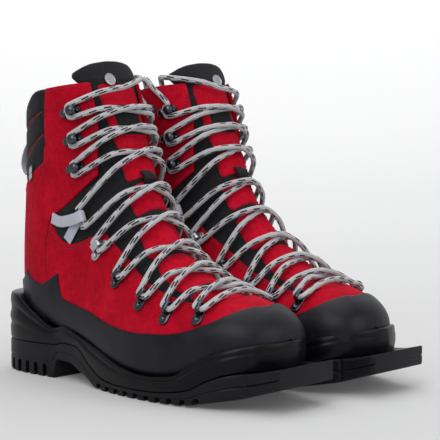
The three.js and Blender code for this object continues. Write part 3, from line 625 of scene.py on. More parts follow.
def braided(name, light, shade, fleck):
    """Braided polyester cord: pale slanted strands, painted darker in the gaps between them as painted shade,
    with pairs of long black tracer dashes every 12 mm.
    """
    made, tree, shader = finish_of(name, {"Roughness": 0.78, "IOR": 1.5, "Sheen Weight": 0.2})
    apart = add(tree, "SeparateXYZ", (), {0: spot_of(tree, "UV")})
    long, turn = apart.outputs[0], apart.outputs[1]

    def maths(kind, a, b=None):
        fixed = isinstance(b, float)
        settings = {"operation": kind, **({1: b} if fixed else {})}
        return add(tree, "Math", settings, {0: a} if b is None or fixed else {0: a, 1: b}).outputs[0]

    def window(source, low, high):
        return maths("MULTIPLY", maths("GREATER_THAN", source, low), maths("LESS_THAN", source, high))

    # The tracer yarns climb slowly round the cord and dip under after 6 mm.
    climb = maths("FRACT", maths("ADD", maths("MULTIPLY", turn, 2.0), maths("MULTIPLY", long, 0.12)))
    step = maths("FRACT", maths("MULTIPLY", long, 1 / 1.2))
    dash = maths("MULTIPLY", window(climb, 0.05, 0.23), window(step, 0.1, 0.62))
    twin = maths("MULTIPLY", window(climb, 0.33, 0.51), window(step, 0.3, 0.82))
    tracer = maths("MAXIMUM", dash, twin)
    # Strands 1.1 mm apart, crossing both ways.
    slants = []
    for way in (1.0, -1.0):
        phase = maths("ADD", maths("MULTIPLY", long, 57.0), maths("MULTIPLY", turn, way * 8 * math.pi))
        slants.append(maths("SINE", phase))
    level = spread(tree, maths("MULTIPLY", *slants), {"From Min": -1.0, "From Max": 1.0})
    # The yarn colour follows the braid's relief: painted shade in the gaps between strands.
    yarn_with_gap_shade = ramp(tree, mix(tree, 0.4, level, noise(tree, 160, 4)), [(0.25, shade), (0.65, light)])
    black = {"data_type": "RGBA", 7: linear(fleck)}
    tone = add(tree, "Mix", black, {0: tracer, 6: yarn_with_gap_shade}).outputs[2]
    tree.links.new(tone, shader.inputs["Base Color"])
    emboss(tree, shader, 0.6, 0.0004, level)
    return made


RED = nubuck("red_nubuck", "#76000F", "#A8021E", "#C8122F")
RED_TONGUE = nubuck("red_nubuck_tongue", "#820014", "#B40422", "#D01A38")
THREAD = woven("red_polyester_thread", "#780A1C", "#B0263A", 0.8, 0.6, 0.3)
RAND = rubber("moulded_rand_rubber", "#0D0D14", "#181820", 0.42)
WALL = rubber("moulded_midsole_rubber", "#040407", "#0A0A0E", 0.33, 0.16)
SOLE = rubber("tread_rubber", "#08080C", "#121217", 0.46, 0.2, 900)
CORDURA = woven("black_cordura", "#0B0B0D", "#242428", 0.9)
KNIT = woven("black_padding_knit", "#0A0A0C", "#1D1D20", 1.3)
FELT = woven("grey_wool_felt", "#2E2E32", "#4A4A50", 1.6, 0.95)
STRAP = banded("reflective_ankle_webbing", "#B9B9C6", "#3E3E46", 0.86)
GRIP = banded("grey_grip_webbing", "#B8B8C4", "#6C6C76", 0.9)
CORD = braided("braided_lace", "#C6C6C8", "#84848A", "#0C0C0E")
GUNMETAL = steel("gunmetal_plate", "#4A4D55", 0.24)
NICKEL = steel("satin_nickel", "#B9BBC0", 0.34)


# ---------------------------------------------------------------------------------------------
# Leather upper

def columns_of(side, rear=(), front=(), middle=False):
    """Columns (sign, zone, share) from the inner round the front to the outer side, both halves alike."""
    half = [("front", v) for v in front] + [("side", v) for v in side] + [("rear", v) for v in rear]
    centre = [(1, "front", 0.0)] if middle else []
    return [(-1, *c) for c in half[::-1]] + centre + [(1, *c) for c in half]


def column_angle(zone, share, edge):
    if zone == "front":
        return share * edge
    if zone == "side":
        return edge + (CORNER - edge) * share
    return CORNER + (180 - CORNER) * share + 0 * edge


def leather_grid(columns, stations_of, edge_of):
    """Stations and angles of a grid whose columns follow the throat edge or the rand edge."""
    t = np.stack([stations_of(zone, share) for _, zone, share in columns], 1)
    angle = np.stack([
        sign * column_angle(zone, share, edge_of(t[:, k])) for k, (sign, zone, share) in enumerate(columns)
    ], 1)
    return t, angle


def zones_of(columns):
    """Zone of the cells between neighbouring columns."""
    found = []
    for (s0, z0, _), (s1, z1, _) in zip(columns, columns[1:]):
        if "rear" in (z0, z1):
            found.append("rear")
        elif "front" in (z0, z1) or s0 != s1:
            found.append("front")
        else:
            found.append("side")
    return np.array(found)


def open_front(columns):
    """Cells of a shell that stays open between its two middle columns."""
    return np.arange(len(columns) - 1) != len(columns) // 2 - 1


SOFT_START = [0, 0.003, 0.008, 0.016, 0.028]
SOFT_ENDS = np.array([0, 0.006, 0.015, 0.03, *np.linspace(0.05, 0.95, 19), 0.97, 0.985, 0.994, 1])
NOTCH_BOTTOM = [[0, 8.94], [0.089, 9.25], [0.265, 9.82], [0.373, 10.42], [APEX, 11.42]]
NOTCH_TOP = [[0, 11.2], [0.257, 11.28], [APEX, 11.5]]
SIDE_SEAM = [[APEX, 11.46], [0.55, 11.02], [0.612, 10.03], [0.65, 9.3]]
CUFF_SEAM = [[APEX, 11.5], [0.55, 11.04], [0.612, 10.05], [0.65, 9.32], [0.8, 9.5], [1, 10.4]]
CUFF_EDGE = [
    [0, 15.9], [0.008, 15.96], [0.03, 16], [0.495, 16], [0.51, 15.7], [0.555, 14], [0.575, 13.25],
    [1, 13.3],
]


def throat(t):
    return flow(THROAT_EDGE, t)


def vamp_leather():
    side = [*SOFT_START, *np.linspace(0.045, APEX, 22), *np.linspace(0.505, 0.8, 14)]
    columns = columns_of(side, front=np.linspace(0, 1, 14)[1:-1], middle=True)
    low = np.array([*np.linspace(1.2, 3.8, 26), 3.86, 3.89, 3.9, 3.92, 3.96, *np.linspace(4.05, 8.2, 46)])

    def stations(zone, share):
        top = 8.94 if zone == "front" else flow(NOTCH_BOTTOM, share)
        if share > APEX and zone == "side":
            top = straight(SIDE_SEAM, share) - 0.02
        return np.concatenate([low, 8.2 + (top - 8.2) * SOFT_ENDS[1:]])

    t, angle = leather_grid(columns, stations, throat)
    closed = np.arange(len(t) - 1) < int(np.argmax(low >= 3.899))
    return sheet(t, angle, 0.0, -LEATHER, closed[:, None] | (zones_of(columns) != "front")[None])


def cuff_bottom(zone, share):
    if zone == "rear":
        return 10.4 + 0.4 * share
    return flow(NOTCH_TOP, share) if share <= APEX else straight(CUFF_SEAM, share)


def cuff_top(zone, share):
    return 13.3 + 0.15 * share if zone == "rear" else straight(CUFF_EDGE, share)


def cuff_leather():
    side = [*SOFT_START, *np.linspace(0.045, 0.485, 20), *np.linspace(0.49, 0.66, 24),
            *np.linspace(0.68, 1, 14)]
    columns = columns_of(side, np.linspace(0, 1, 16)[1:])
    shares = np.array([0, 0.004, 0.01, 0.02, *np.linspace(0.035, 0.965, 62), 0.98, 0.99, 0.996, 1])

    def stations(zone, share):
        low, high = cuff_bottom(zone, share), cuff_top(zone, share)
        return low + (high - low) * shares

    t, angle = leather_grid(columns, stations, throat)
    return sheet(t, angle, 0.0, -LEATHER, open_front(columns), wrap=True)


def collar_padding():
    """Padded panel behind the collar, drawn in along two sewn lines."""
    columns = columns_of(np.linspace(0.47, 1, 26), np.linspace(0, 1, 16)[1:])
    shares = np.array([*np.linspace(0, 0.9, 40), 0.93, 0.955, 0.975, 0.99, 1])

    def stations(zone, share):
        angle = column_angle(zone, share, 40)
        low = cuff_top(zone, share) if share > 0.56 or zone == "rear" else 13.25
        return low - 0.3 + (flow(COLLAR_TOP, angle) - low + 0.3) * shares

    t, angle = leather_grid(columns, stations, throat)
    lift = rise(np.abs(angle), 82, 14) * rise(t, 13.2, 0.5)
    sunk = sum(1.5 * bell(t, piping_line(line, np.abs(angle)), 0.07) for line in (0, 1))
    outer = -1.6 + lift * 2.4 - lift * sunk
    return sheet(t, angle, outer, -9.4, open_front(columns), edge=3.2, inner_edge=4.0, wrap=True)


def piping_line(line, angle):
    """Station of a sewn line of the collar padding at an angle from the middle line."""
    return (14.95, 14.1)[line] - 0.45 * rise(angle, 90, 90)


def collar_piping():
    shapes = []
    for line in (0, 1):
        angle = np.concatenate([np.linspace(93, 180, 60), np.linspace(-179, -93, 60)])
        points = skin(piping_line(line, np.abs(angle)), angle, -0.35)
        shapes.append(sweep(points, steady_sides(points), ellipse(0.9, 0.9, 8)))
    return joined(shapes)


def throat_padding():
    """Black padded gusset in the ankle notch, between tongue and leather."""
    t, angle = grid_of(7.6, 12.6, 50, 33, 99, 40)
    outer = -4.0 + 2.7 * smooth(rise(angle, 52, 22) * rise(-angle, -100, 10))
    return joined([sheet(t, sign * angle, outer, -4.9, edge=0.4) for sign in (-1, 1)])


def tongue_padding():
    t = np.array([*np.linspace(3.95, 16, 110), *np.linspace(16.06, 17.8, 30), 17.85, 17.89, 17.92, 17.94])
    share = np.linspace(-1, 1, 41)
    half = np.where(t < 16, throat(t) + 6, flow(TONGUE_HALF, t))
    half = np.where(np.abs(t - 16) < 0.5, np.interp(t, [15.5, 16.5], [throat(15.5) + 6, 56]), half)
    angle = half[:, None] * share[None]
    stations = np.repeat(t[:, None], len(share), 1)
    crown = rise(stations, 15.6, 0.7) * (1 - share[None] ** 4)
    return sheet(stations, angle, -4.2 + 2.6 * crown, -7.4 - 2.4 * crown, edge=1.6, inner_edge=1.2)


TONGUE_PATCHES = [
    (3.98, 5.15, 37, 24), (5.3, 6.7, 33, 35), (6.9, 8.15, 33, 34), (8.45, 9.75, 32, 31),
    (10.0, 11.25, 30, 29), (11.5, 16.25, 29, 31),
]


def patch_at(patch, u):
    """Station and half width of a tongue panel, from its low end (u = -1) to its high end (u = 1)."""
    low, high, wide_top, wide_low = patch
    return (low + high) / 2 + (high - low) / 2 * u, wide_low + (wide_top - wide_low) * (u + 1) / 2


def tongue_patches():
    """Red leather panels on the tongue, with soft corners and gaps where it flexes."""
    u, v = grid_of(-1, 1, 25, -1, 1, 25)
    shapes = []
    for patch in TONGUE_PATCHES:
        t, _ = patch_at(patch, u * (1 - 0.06 * np.abs(v) ** 4))
        angle = v * patch_at(patch, u)[1] * (1 - 0.12 * np.abs(u) ** 6)
        shapes.append(sheet(t, angle, -3.3, -4.4, edge=0.5))
    return joined(shapes)


def lining_shell():
    columns = columns_of(np.linspace(0, 1, 26)[1:], np.linspace(0, 1, 12)[1:], front=[1.0])

    def stations(zone, part):
        top = flow(COLLAR_TOP, column_angle(zone, part, 45)) - 0.25
        return 3.9 + (top - 3.9) * np.linspace(0, 1, 90)

    t, angle = leather_grid(columns, stations, lambda x: throat(x) + 9)
    return sheet(t, angle, *LINING, open_front(columns), edge=1.2, inner_edge=1.2, wrap=True)


def toe_lining():
    return sheet(*grid_of(0.4, 4.1, 40, -180, 180, 81), *LINING, edge=0.0, wrap=True)


def footbed_sheet():
    return sheet(*grid_of(1.9, 9.6, 60, 149, 211, 25), -9.2, -12.2, edge=1.0, inner_edge=1.0)


# ---------------------------------------------------------------------------------------------
# Rubber

def rand_cover():
    """Rubber rand: a thin lip on the leather that thickens towards the sole."""
    side = [0, 0.008, 0.02, 0.04, 0.07, *np.linspace(0.1, 1, 30)]
    columns = columns_of(side, np.linspace(0, 1, 14)[1:], np.linspace(0, 1, 12)[1:-1], middle=True)
    front = np.array([*np.linspace(0, 2.68, 32), 2.74, 2.79, 2.82, 2.84, 2.87, 2.91,
                      *np.linspace(2.96, 8.9, 64), *np.linspace(8.98, 10.3, 34)])

    def edge(t):
        return np.where(t < 8.94, flow(RAND_EDGE, t), straight(RAND_EDGE, t))

    def stations(zone, share):
        end = 11.05 + (0.6 * share if zone == "rear" else 0)
        return np.concatenate([front, 10.3 + (end - 10.3) * SOFT_ENDS[1:]])

    t, angle = leather_grid(columns, stations, edge)
    zone = zones_of(columns)[None]
    rows = np.arange(len(t) - 1)[:, None]
    cap, heel = int(np.argmax(front >= 2.839)), len(front) - 1
    keep = np.where(zone == "front", rows < cap, np.where(zone == "rear", rows >= heel, True))
    below = 1 - (1 - rise(np.abs(angle), edge(t), 16)) * rise(t, 2.2, 0.6)
    return sheet(t, angle, 1.4 + 0.5 * smooth(below), -0.4, keep, edge=1.3, wrap=True)


GROOVE_LINE = [
    [0, 66], [22, 66], [50, 53], [76, 42], [89, 45], [107, 40.5], [143, 30.7], [173, 22],
    [198, 19.5], [227, 22.5], [245, 33], [267, 44], [296, 50], [315, 50],
]
TREAD_LINE = [
    [0, 26], [50, 27], [77, 27.7], [89, 30.5], [107, 29.8], [127, 17.8], [147, 8.8], [165, 7],
    [185, 7], [210, 7.8], [241, 12.5], [260, 22], [279, 27.8], [296, 30], [315, 34.6],
]
TREAD_BOTTOM = [
    [0, 1.5], [4, 0], [77, 0], [79, 14], [84, 16], [100, 15], [125, 6], [134, 1.5], [147, 0],
    [205, 0], [241, 1.4], [258, 4.9], [284, 10], [315, 19.6],
]
HEEL_PLAN = [
    [0, 0.6, 0.6], [0.2, 4.3, 4.3], [0.85, 8.9, 8.9], [3, 17, 17], [8, 26, 26], [16, 33, 32],
    [30, 38, 36.5], [50, 39.5, 37], [64, 39.4, 36.7], [78, 39, 36.5], [90, 40, 37.5], [107, 42, 39],
    [127, 46, 41.5], [147, 50, 43.8], [165, 53, 45.5], [185, 55, 47], [210, 55.7, 48], [225, 55, 48],
    [241, 53, 47.5], [258, 49, 45.5],
]
TREAD_SHARES = [
    0, 0.03, 0.08, 0.14, 0.22, 0.32, 0.4, 0.44, 0.47, 0.5, 0.53, 0.56, 0.6, 0.7, 0.8, 0.88, 0.94, 0.98, 1,
]
WALL_PLAN = HEEL_PLAN + [
    [270, 44, 43], [279, 38, 38], [286, 31, 31], [291, 25.5, 25.5], [296, 16, 16], [299.2, 7, 7],
    [299.9, 3.5, 3.5], [300.1, 0.5, 0.5],
]
TREAD_PLAN = HEEL_PLAN + [
    [270, 46, 43], [279, 40.5, 40], [285, 38, 38], [291, 36.6, 36.6], [296, 35.6, 35.6],
    [305, 34, 34], [312, 32.4, 32.4], [314.6, 31, 31], [315, 30, 30],
]


def sole_loft(plan, levels):
    """Loft of rings through a plan; `levels(s)` gives (height, swell) from the bottom up."""
    rows = through(plan, 6)
    rows[:, 0] = np.maximum.accumulate(np.maximum(rows[:, 0], 0))
    rings = []
    for s, outward, inward in rows:
        profile = levels(s)
        rings.append([(-(max(outward, 0.4) + swell), -s, z) for z, swell in profile]
                     + [(max(inward, 0.4) + swell, -s, z) for z, swell in profile[::-1]])
    points, faces = tube(rings, capped=False)
    n, start = len(rings[0]), len(points) - len(rings[0])
    for order in (np.arange(n)[::-1], np.arange(start, len(points))):
        faces += [(order[j], order[j + 1], order[n - 2 - j], order[n - 1 - j]) for j in range(n // 2 - 1)]
    return tidied(points, faces)


def rounding(share):
    """Fall of a quarter-round edge, from 0 where it begins to 1 at its end."""
    return 1 - math.sqrt(max(1 - max(share, 0) ** 2, 0))


def wall_levels(s):
    """Midsole wall: rounded top lip, a shallow hollow under it, and ledges round the heel."""
    low, high = flow(TREAD_LINE, s) + 0.3, flow(GROOVE_LINE, s)
    heel, front = bell(s, 0, 34), rise(s, 225, 45)
    out = []
    for f in [0, 0.03, 0.07, *np.linspace(0.12, 0.86, 26), 0.9, 0.935, 0.96, 0.98, 0.993, 1]:
        swell = 1.1 * math.sin(math.pi * min(f * 1.05, 1)) * (1 + 0.9 * front) + 0.7 * front
        swell -= (1.0 - front * 0.6) * bell(f, 0.72, 0.07)
        swell -= heel * 1.5 * (bell(f, 0.36, 0.07) + 0.8 * bell(f, 0.62, 0.07))
        swell -= 1.9 * rounding((f - 0.9) / 0.1) + 0.9 * rounding((0.07 - f) / 0.07)
        out.append((low + (high - low) * f, swell))
    return out


def tread_levels(s):
    """Outsole edge: rounded at the floor, with a fine line halfway along the toe plate."""
    low, high = straight(TREAD_BOTTOM, s), flow(TREAD_LINE, s)
    line = 0.5 + 0.6 * rise(s, 262, 20)
    out = []
    for f in TREAD_SHARES:
        swell = 0.5 - 1.6 * rounding((0.14 - f) / 0.14) - 0.8 * rounding((f - 0.88) / 0.12)
        out.append((low + (high - low) * f, swell - line * bell(f, 0.5, 0.03)))
    return out


def last_block(off):
    """The space inside the rand, as a closed block that clears the midsole."""
    t, angle = np.meshgrid(np.linspace(0, 12, 70), np.linspace(0, 360, 72, endpoint=False), indexing="ij")
    return tidied(*tube(skin(t, angle, off)))


def rounded_slot(s, x0, x1, width, low, high):
    """Closed groove cutter across the sole's edge, with soft corners."""
    path = [(x, -s, (low + high) / 2) for x in np.linspace(x0, x1, 3)]
    return sweep(path, (0, 1, 0), soft_box(width, high - low, 6, 20))


def plate_hole(s, x, radius, low, high):
    return tidied(*tube([ring(x, -s, radius, z, 20) for z in (low, high)]))


def make_midsole():
    for side in SIDES:
        wall = mesh_piece(f"{side}_midsole_wall", side, sole_loft(WALL_PLAN, wall_levels), WALL)
        cut(wall, [mesh_piece("space", side, last_block(1.2), WALL)])
        attach(wall, side, "boot", ["midsole"])


HEEL_SLOTS = [11, 22, 33, 44, 55, 66]
SOLE_SLOTS = [142, 154, 166, 178, 190, 202, 214, 226, 238, 250]
CROSS_SLOTS = [30, 52, 160, 184, 208, 232]
HEEL_SLOT, SOLE_SLOT = (4.8, 15, 11), (5.2, 20, 4.6)  # width, reach inward and height of an edge slot
PIN_HOLES = [(303, 0), (295, -12), (295, 12)]


def sole_cutters():
    shapes = []
    for s in HEEL_SLOTS + SOLE_SLOTS:
        floor = straight(TREAD_BOTTOM, s)
        width, reach, height = HEEL_SLOT if s < 80 else SOLE_SLOT
        for column, sign in ((1, -1), (2, 1)):
            edge = straight(TREAD_PLAN, s, column)
            ends = sign * (edge - reach), sign * (edge + 5)
            shapes.append(rounded_slot(s, *ends, width, floor - 3, floor + height))
    for s in CROSS_SLOTS:
        floor = straight(TREAD_BOTTOM, s)
        shapes.append(rounded_slot(s, -17, 15, 4.5, floor - 3, floor + 3.5))
    for x in (-40.5, 40.5):
        shapes.append(plate_hole(287.5, x, 3.4, 0, 60))
    for s, x in PIN_HOLES:
        floor = straight(TREAD_BOTTOM, s)
        shapes.append(plate_hole(s, x, 2.3, floor - 5, floor + 8))
    return shapes


def make_outsole():
    for side in SIDES:
        tread = mesh_piece(f"{side}_tread_sole", side, sole_loft(TREAD_PLAN, tread_levels), SOLE)
        cut(tread, [mesh_piece(f"cut_{k}", side, shape, SOLE) for k, shape in enumerate(sole_cutters())])
        attach(tread, side, "boot", ["outsole"])


# ---------------------------------------------------------------------------------------------
# Lace

def in_frame(frame, a, b, c):
    origin, away, along, out = frame
    return origin + away * a + along * b + out * c


def turn_shape(kind):
    """Middle and half width of the lace's turn round a fitting, and points of its upper half."""
    if kind == "hook":
        reach = 1.8 + LACE_RADIUS + 1.2
        return 0, reach, [(0.9 * reach, 0.44 * reach), (0.2 * reach, 0.98 * reach)]
    width = {"loop": 3, "lock": 6, "strap": 8}[kind]
    spare = 0.6 if kind == "strap" else 0
    half = width / 2 + LACE_RADIUS + 0.8 + 2 * spare
    return LEG_MIDDLE, half, [(TURN_REACH, width / 2 + 0.6 + spare), (0.4 * TURN_REACH, half)]


def laced_turn(row, side):
    kind, t, angle = row
    frame = fitting_frame(t, side * angle)
    middle, _, bend = turn_shape(kind)
    upper = [(middle + a, b) for a, b in bend]
    lower = [(a, -b) for a, b in upper][::-1]
    return [in_frame(frame, a, b, LACE_LIFT) for a, b in lower + upper]


def beside(row, side, up):
    kind, t, angle = row
    step = np.linalg.norm(on_last(t + 0.5, side * angle) - on_last(t - 0.5, side * angle))
    around = np.linalg.norm(on_last(t, side * (angle + 0.5)) - on_last(t, side * (angle - 0.5)))
    middle, half, _ = turn_shape(kind)
    return t + up * half / step, side * (angle + middle / around)


UNDER = -LEATHER - 1.8 + LACE_RADIUS + 1.4  # lace offset on the tongue, below and above a crossing
OVER = UNDER + 2 * LACE_RADIUS + 0.4


def strand(low, high, side, over):
    t0, a0 = beside(low, side, 1)
    t1, a1 = beside(high, -side, -1)
    middle = OVER if over else UNDER
    start = middle if over else LACE_LIFT - 0.3
    lifts = [(0.2, start), (0.42, middle + 0.2), (0.58, middle + 0.2), (0.8, start)]
    return [skin(t0 + (t1 - t0) * f, a0 + (a1 - a0) * f, lift) for f, lift in lifts]


def tucked_end(side, over):
    """The free end, over the inner side of the collar and down inside; the outer one crosses the tongue."""
    t0, a0 = beside(ROWS[-1], side, 1)
    inside = LINING[1] - LACE_RADIUS - 0.7
    middle = OVER if over else UNDER
    if side > 0:
        way = [
            (t0 + (15.3 - t0) * 0.4, a0 * 0.62, LACE_LIFT + (middle - LACE_LIFT) * 0.3),
            (t0 + (15.3 - t0) * 0.7, a0 * 0.28, middle), (15.3, 0, middle), (15.75, -18, middle),
            (16.2, -36, LACE_RADIUS + 0.4),
        ]
    else:
        way = [
            (t0 + (16.2 - t0) * 0.4, a0 - 6, LACE_LIFT - 1),
            (t0 + (16.2 - t0) * 0.75, a0 - 12, LACE_RADIUS + 1.6),
            (16.2, a0 - 16, LACE_RADIUS + 0.8),
        ]
    edge = -52 if side > 0 else a0 - 20
    way += [(16.5, edge, LACE_RADIUS), (16.62, edge - 10, -3), (16.45, edge - 15, inside + 1.5)]
    way += [(t, edge - turn, inside) for t, turn in ((15.95, 16), (15.2, 15), (14.4, 14))]
    return [skin(t, angle, off) for t, angle, off in way]


def lace_route():
    def climb(side):
        first = side > 0
        points = list(laced_turn(ROWS[0], side))
        for k, row in enumerate(ROWS[1:]):
            over = (k % 2 == 0) == first
            points += strand(ROWS[k], row, side, over)
            side = -side
            points += laced_turn(row, side)
        return points + tucked_end(side, first)

    t, angle = beside(ROWS[0], 1, -1)
    bar = [skin(t, f * angle, LACE_RADIUS + 0.9) for f in (-0.7, -0.35, 0, 0.35, 0.7)]
    return np.array(climb(-1)[::-1] + bar + climb(1))


def lace_cord():
    points = through(lace_route(), 5)
    return sweep(points, steady_sides(points), ellipse(2 * LACE_RADIUS, 2 * LACE_RADIUS, 12))


# ---------------------------------------------------------------------------------------------
# Fittings

def dome(radius, height, at, floor):
    profile = [(0, floor), (radius, floor), (radius, floor + 0.5)]
    for a in np.linspace(0.15, 1.5, 7):
        profile.append((radius * math.cos(a), floor + 0.5 + (height - 0.5) * math.sin(a)))
    return moved(turned(profile + [(0, floor + height)], 24), at)


def base_plate(x0, x1, r0, r1, low, high):
    """Tapered plate with round ends, from radius r0 at x0 to radius r1 at x1."""
    lean = math.asin((r0 - r1) / max(x1 - x0, 0.1)) if abs(r0 - r1) < x1 - x0 else 0
    outline = []
    for x, r, start, end in ((x0, r0, 0.5, 1.5), (x1, r1, -0.5, 0.5)):
        way = lean if r is r1 and x is x1 else -lean
        for a in np.linspace(start * math.pi + way, end * math.pi - way, 12):
            outline.append((x + r * math.cos(a), r * math.sin(a)))
    middle = (x0 + x1) / 2
    rings = []
    for z, shrink in ((low, 0), (low + (high - low) * 0.55, 0), (high - 0.1, 0.25), (high, 0.6)):
        kept = [1 - shrink / math.hypot(x - middle, y) for x, y in outline]
        rings.append([(middle + (x - middle) * k, y * k, z) for (x, y), k in zip(outline, kept)])
    return tidied(*tube(rings))


def speed_hook():
    """Riveted plate, a waisted post and the ball that keeps the lace down."""
    neck = LACE_LIFT + LACE_RADIUS + 0.6
    post = [(0, 0.5), (3.6, 0.5), (3.4, 1.2), (2.1, 2.2), (1.8, 3.4), (1.8, neck - 1.6), (2.4, neck - 0.4)]
    ball = [(4.4 * math.cos(a), neck + 2.4 + 3.1 * math.sin(a)) for a in np.linspace(-0.95, 1.5, 12)]
    return joined([
        base_plate(0, 9.4, 4.6, 4.6, 0.1, 1.6), turned(post + ball + [(0, neck + 5.5)]),
        dome(4.2, 4.3, (9.4, 0, 0), 1.2),
    ])


def lace_loop(width, ribs):
    """Riveted plate with a bent bracket that the lace runs through."""
    roof = LACE_LIFT + LACE_RADIUS + 0.4 + 0.7
    inner, outer = LEG_MIDDLE, LEG_MIDDLE + TURN_REACH + LACE_RADIUS + 0.4 + 0.9
    bend = 1.8
    path = [(inner, 0, 0.4), (inner, 0, roof - bend)]
    for a in np.linspace(0.3, 1.5, 4):
        path.append((inner + bend - bend * math.cos(a), 0, roof - bend + bend * math.sin(a)))
    for a in np.linspace(0.1, 1.3, 4):
        path.append((outer - bend + bend * math.sin(a), 0, roof - bend + bend * math.cos(a)))
    path += [(outer, 0, roof - bend - 0.4), (outer + 0.3, 0, 0.6)]
    at = outer + 4.6
    shapes = [
        sweep(path, (0, 1, 0), soft_box(width, 1.7, 4, 16)),
        base_plate(inner + 0.3, at, 2.2 + width * 0.2, 4.2, 0.1, 1.5), dome(2.7, 2.6, (at, 0, 0), 1.2),
    ]
    for k in range(ribs):
        x = inner + 1.2 + k * (outer - inner - 2.4) / max(ribs - 1, 1)
        line = [(x, y, roof + 0.75) for y in np.linspace(-width / 2 + 0.4, width / 2 - 0.4, 4)]
        shapes.append(sweep(line, (1, 0, 0), ellipse(1.0, 0.9, 8)))
    return joined(shapes)


def ankle_strap(side):
    """Webbing from the point of the notch over the lace, round it, and back under it."""
    _, t, angle = ROWS[5]
    frame = fitting_frame(t, side * angle)
    bight = LEG_MIDDLE + TURN_REACH
    half = LACE_RADIUS + 0.4 + 0.55

    def on_skin(st, an, off, ahead):
        point = skin(st, side * an, off)
        way = unit(skin(ahead[0], side * ahead[1], off) - point)
        across = unit(np.cross(facing(st, side * an)[1], way))
        return point, across if across @ frame[2] > 0 else -across

    def over(a, h):
        return in_frame(frame, a, 0, h), frame[2]

    def turn(degrees):
        a = math.radians(degrees)
        return over(bight - half * math.sin(a), LACE_LIFT + half * math.cos(a))

    path = [
        on_skin(11.42, 88.5, 0.2, (10.6, 74)), on_skin(10.95, 80, 1.2, (10.4, 70)),
        over(bight + 5.5, LACE_LIFT + half - 0.6), *[turn(d) for d in (0, 45, 90, 135, 180)],
        over(bight + 5, LACE_LIFT - half), on_skin(10.15, 79, 0.3, (10.2, 70)),
    ]
    points = through([p for p, _ in path], 6)
    sides = unit(through([s for _, s in path], 6))
    return sweep(points, sides, soft_box(9.2, 1.1, 6, 24))


def grip_loop():
    """Webbing loop at the back of the collar, hanging a little under its own weight."""
    spots = [
        (13.7, 0.4, 0), (13.72, 4.4, 1.5), (13.84, 11, 5), (14.14, 15.6, 7), (14.44, 12.4, 5),
        (14.64, 5, 1.5), (14.7, 0.4, 0),
    ]
    points = through([skin(t, 180, off + 0.9) - (0, 0, droop) for t, off, droop in spots], 6)
    return sweep(points, (1, 0, 0), soft_box(14, 1.6, 6, 24))


# ---------------------------------------------------------------------------------------------
# Sewing and small trim

STITCH_PITCH, STITCH_LENGTH, THREAD_THICK = 3.1, 2.3, 0.62
TWIN_ROWS = (2.2, 4.0)  # distances of a double seam from its edge
NOTCH_SHARES = np.linspace(0.02, APEX - 0.01, 30)


def inset(path, distance, side):
    """A (station, angle) path moved sideways over the surface by a distance in millimetres."""
    path = np.asarray(path, float)
    t, angle = path[:, 0], path[:, 1]
    points = on_last(t, angle)
    way = unit(np.gradient(points, axis=0))
    across = unit(np.cross(facing(t, angle)[1], way)) * side
    by_t = (on_last(t + 0.01, angle) - on_last(t - 0.01, angle)) / 0.02
    by_a = (on_last(t, angle + 0.1) - on_last(t, angle - 0.1)) / 0.2
    tt, ta, aa = (by_t * by_t).sum(1), (by_t * by_a).sum(1), (by_a * by_a).sum(1)
    rt, ra = (by_t * across).sum(1) * distance, (by_a * across).sum(1) * distance
    det = tt * aa - ta * ta
    return np.stack([t + (rt * aa - ra * ta) / det, angle + (ra * tt - rt * ta) / det], 1)


def read_along(at, known, values):
    """Columns of values read at places along their known places."""
    return np.stack([np.interp(at, known, column) for column in values.T], -1)


def seam_stitches(path, off=0.12):
    """Raised stitches along a (station, angle) path."""
    path = np.asarray(path, float)
    n = len(path)
    fine = read_along(np.linspace(0, n - 1, n * 6), np.arange(n), path)
    points, out = skin(fine[:, 0], fine[:, 1], off), facing(fine[:, 0], fine[:, 1])[1]
    length = travelled(points)
    shapes = []
    for middle in np.arange(STITCH_PITCH / 2, length[-1] - STITCH_PITCH / 2, STITCH_PITCH):
        at = read_along(middle + np.array([-0.5, 0, 0.5]) * STITCH_LENGTH, length, points)
        up = read_along(middle, length, out)
        line = through(at + up * np.array([[-0.15], [0.12], [-0.15]]), 2)
        across = np.cross(up, unit(np.gradient(line, axis=0)))
        shapes.append(sweep(line, across, ellipse(THREAD_THICK, THREAD_THICK, 6), round_ends=0.5))
    return shapes


def sewn(paths):
    """Stitches along paths and along their mirror images on the other half of the boot."""
    return joined([s for path in paths for way in (1, -1) for s in seam_stitches(path * np.array((1, way)))])


def path_of(t, angle):
    return np.stack(np.broadcast_arrays(t, angle), -1)


def share_path(shares, station_of):
    """(station, angle) path along an edge given by side shares."""
    t = np.array([float(station_of(v)) for v in shares])
    edge = throat(t)
    return path_of(t, edge + (CORNER - edge) * shares)


def vamp_sewing():
    t = np.linspace(4.25, 8.8, 40)
    notch = share_path(NOTCH_SHARES, lambda v: flow(NOTCH_BOTTOM, v))
    seam = share_path(np.linspace(0.495, 0.61, 12), lambda v: straight(SIDE_SEAM, v))
    return sewn([inset(path, d, 1) for path in (path_of(t, throat(t)), notch) for d in TWIN_ROWS]
                + [inset(seam, TWIN_ROWS[0], 1)])


def cuff_sewing():
    t = np.linspace(11.35, 15.7, 40)
    notch = share_path(NOTCH_SHARES, lambda v: flow(NOTCH_TOP, v))
    panel = share_path(np.linspace(0.5, 0.56, 20), lambda v: cuff_top("side", v))
    collar = path_of(15.98, np.linspace(39, 84, 20))
    around = path_of(13.26, np.linspace(97, 178, 50))
    back = np.array([[13.1, 112], [12.6, 114], [12.13, 117], [11.7, 119.5], [11.21, 122.2], [10.95, 124]])
    paths = [inset(path_of(t, throat(t)), d, 1) for d in TWIN_ROWS] + [inset(notch, TWIN_ROWS[0], -1)]
    return sewn(paths + [inset(path, 2.4, 1) for path in (panel, collar, around)] + [back])


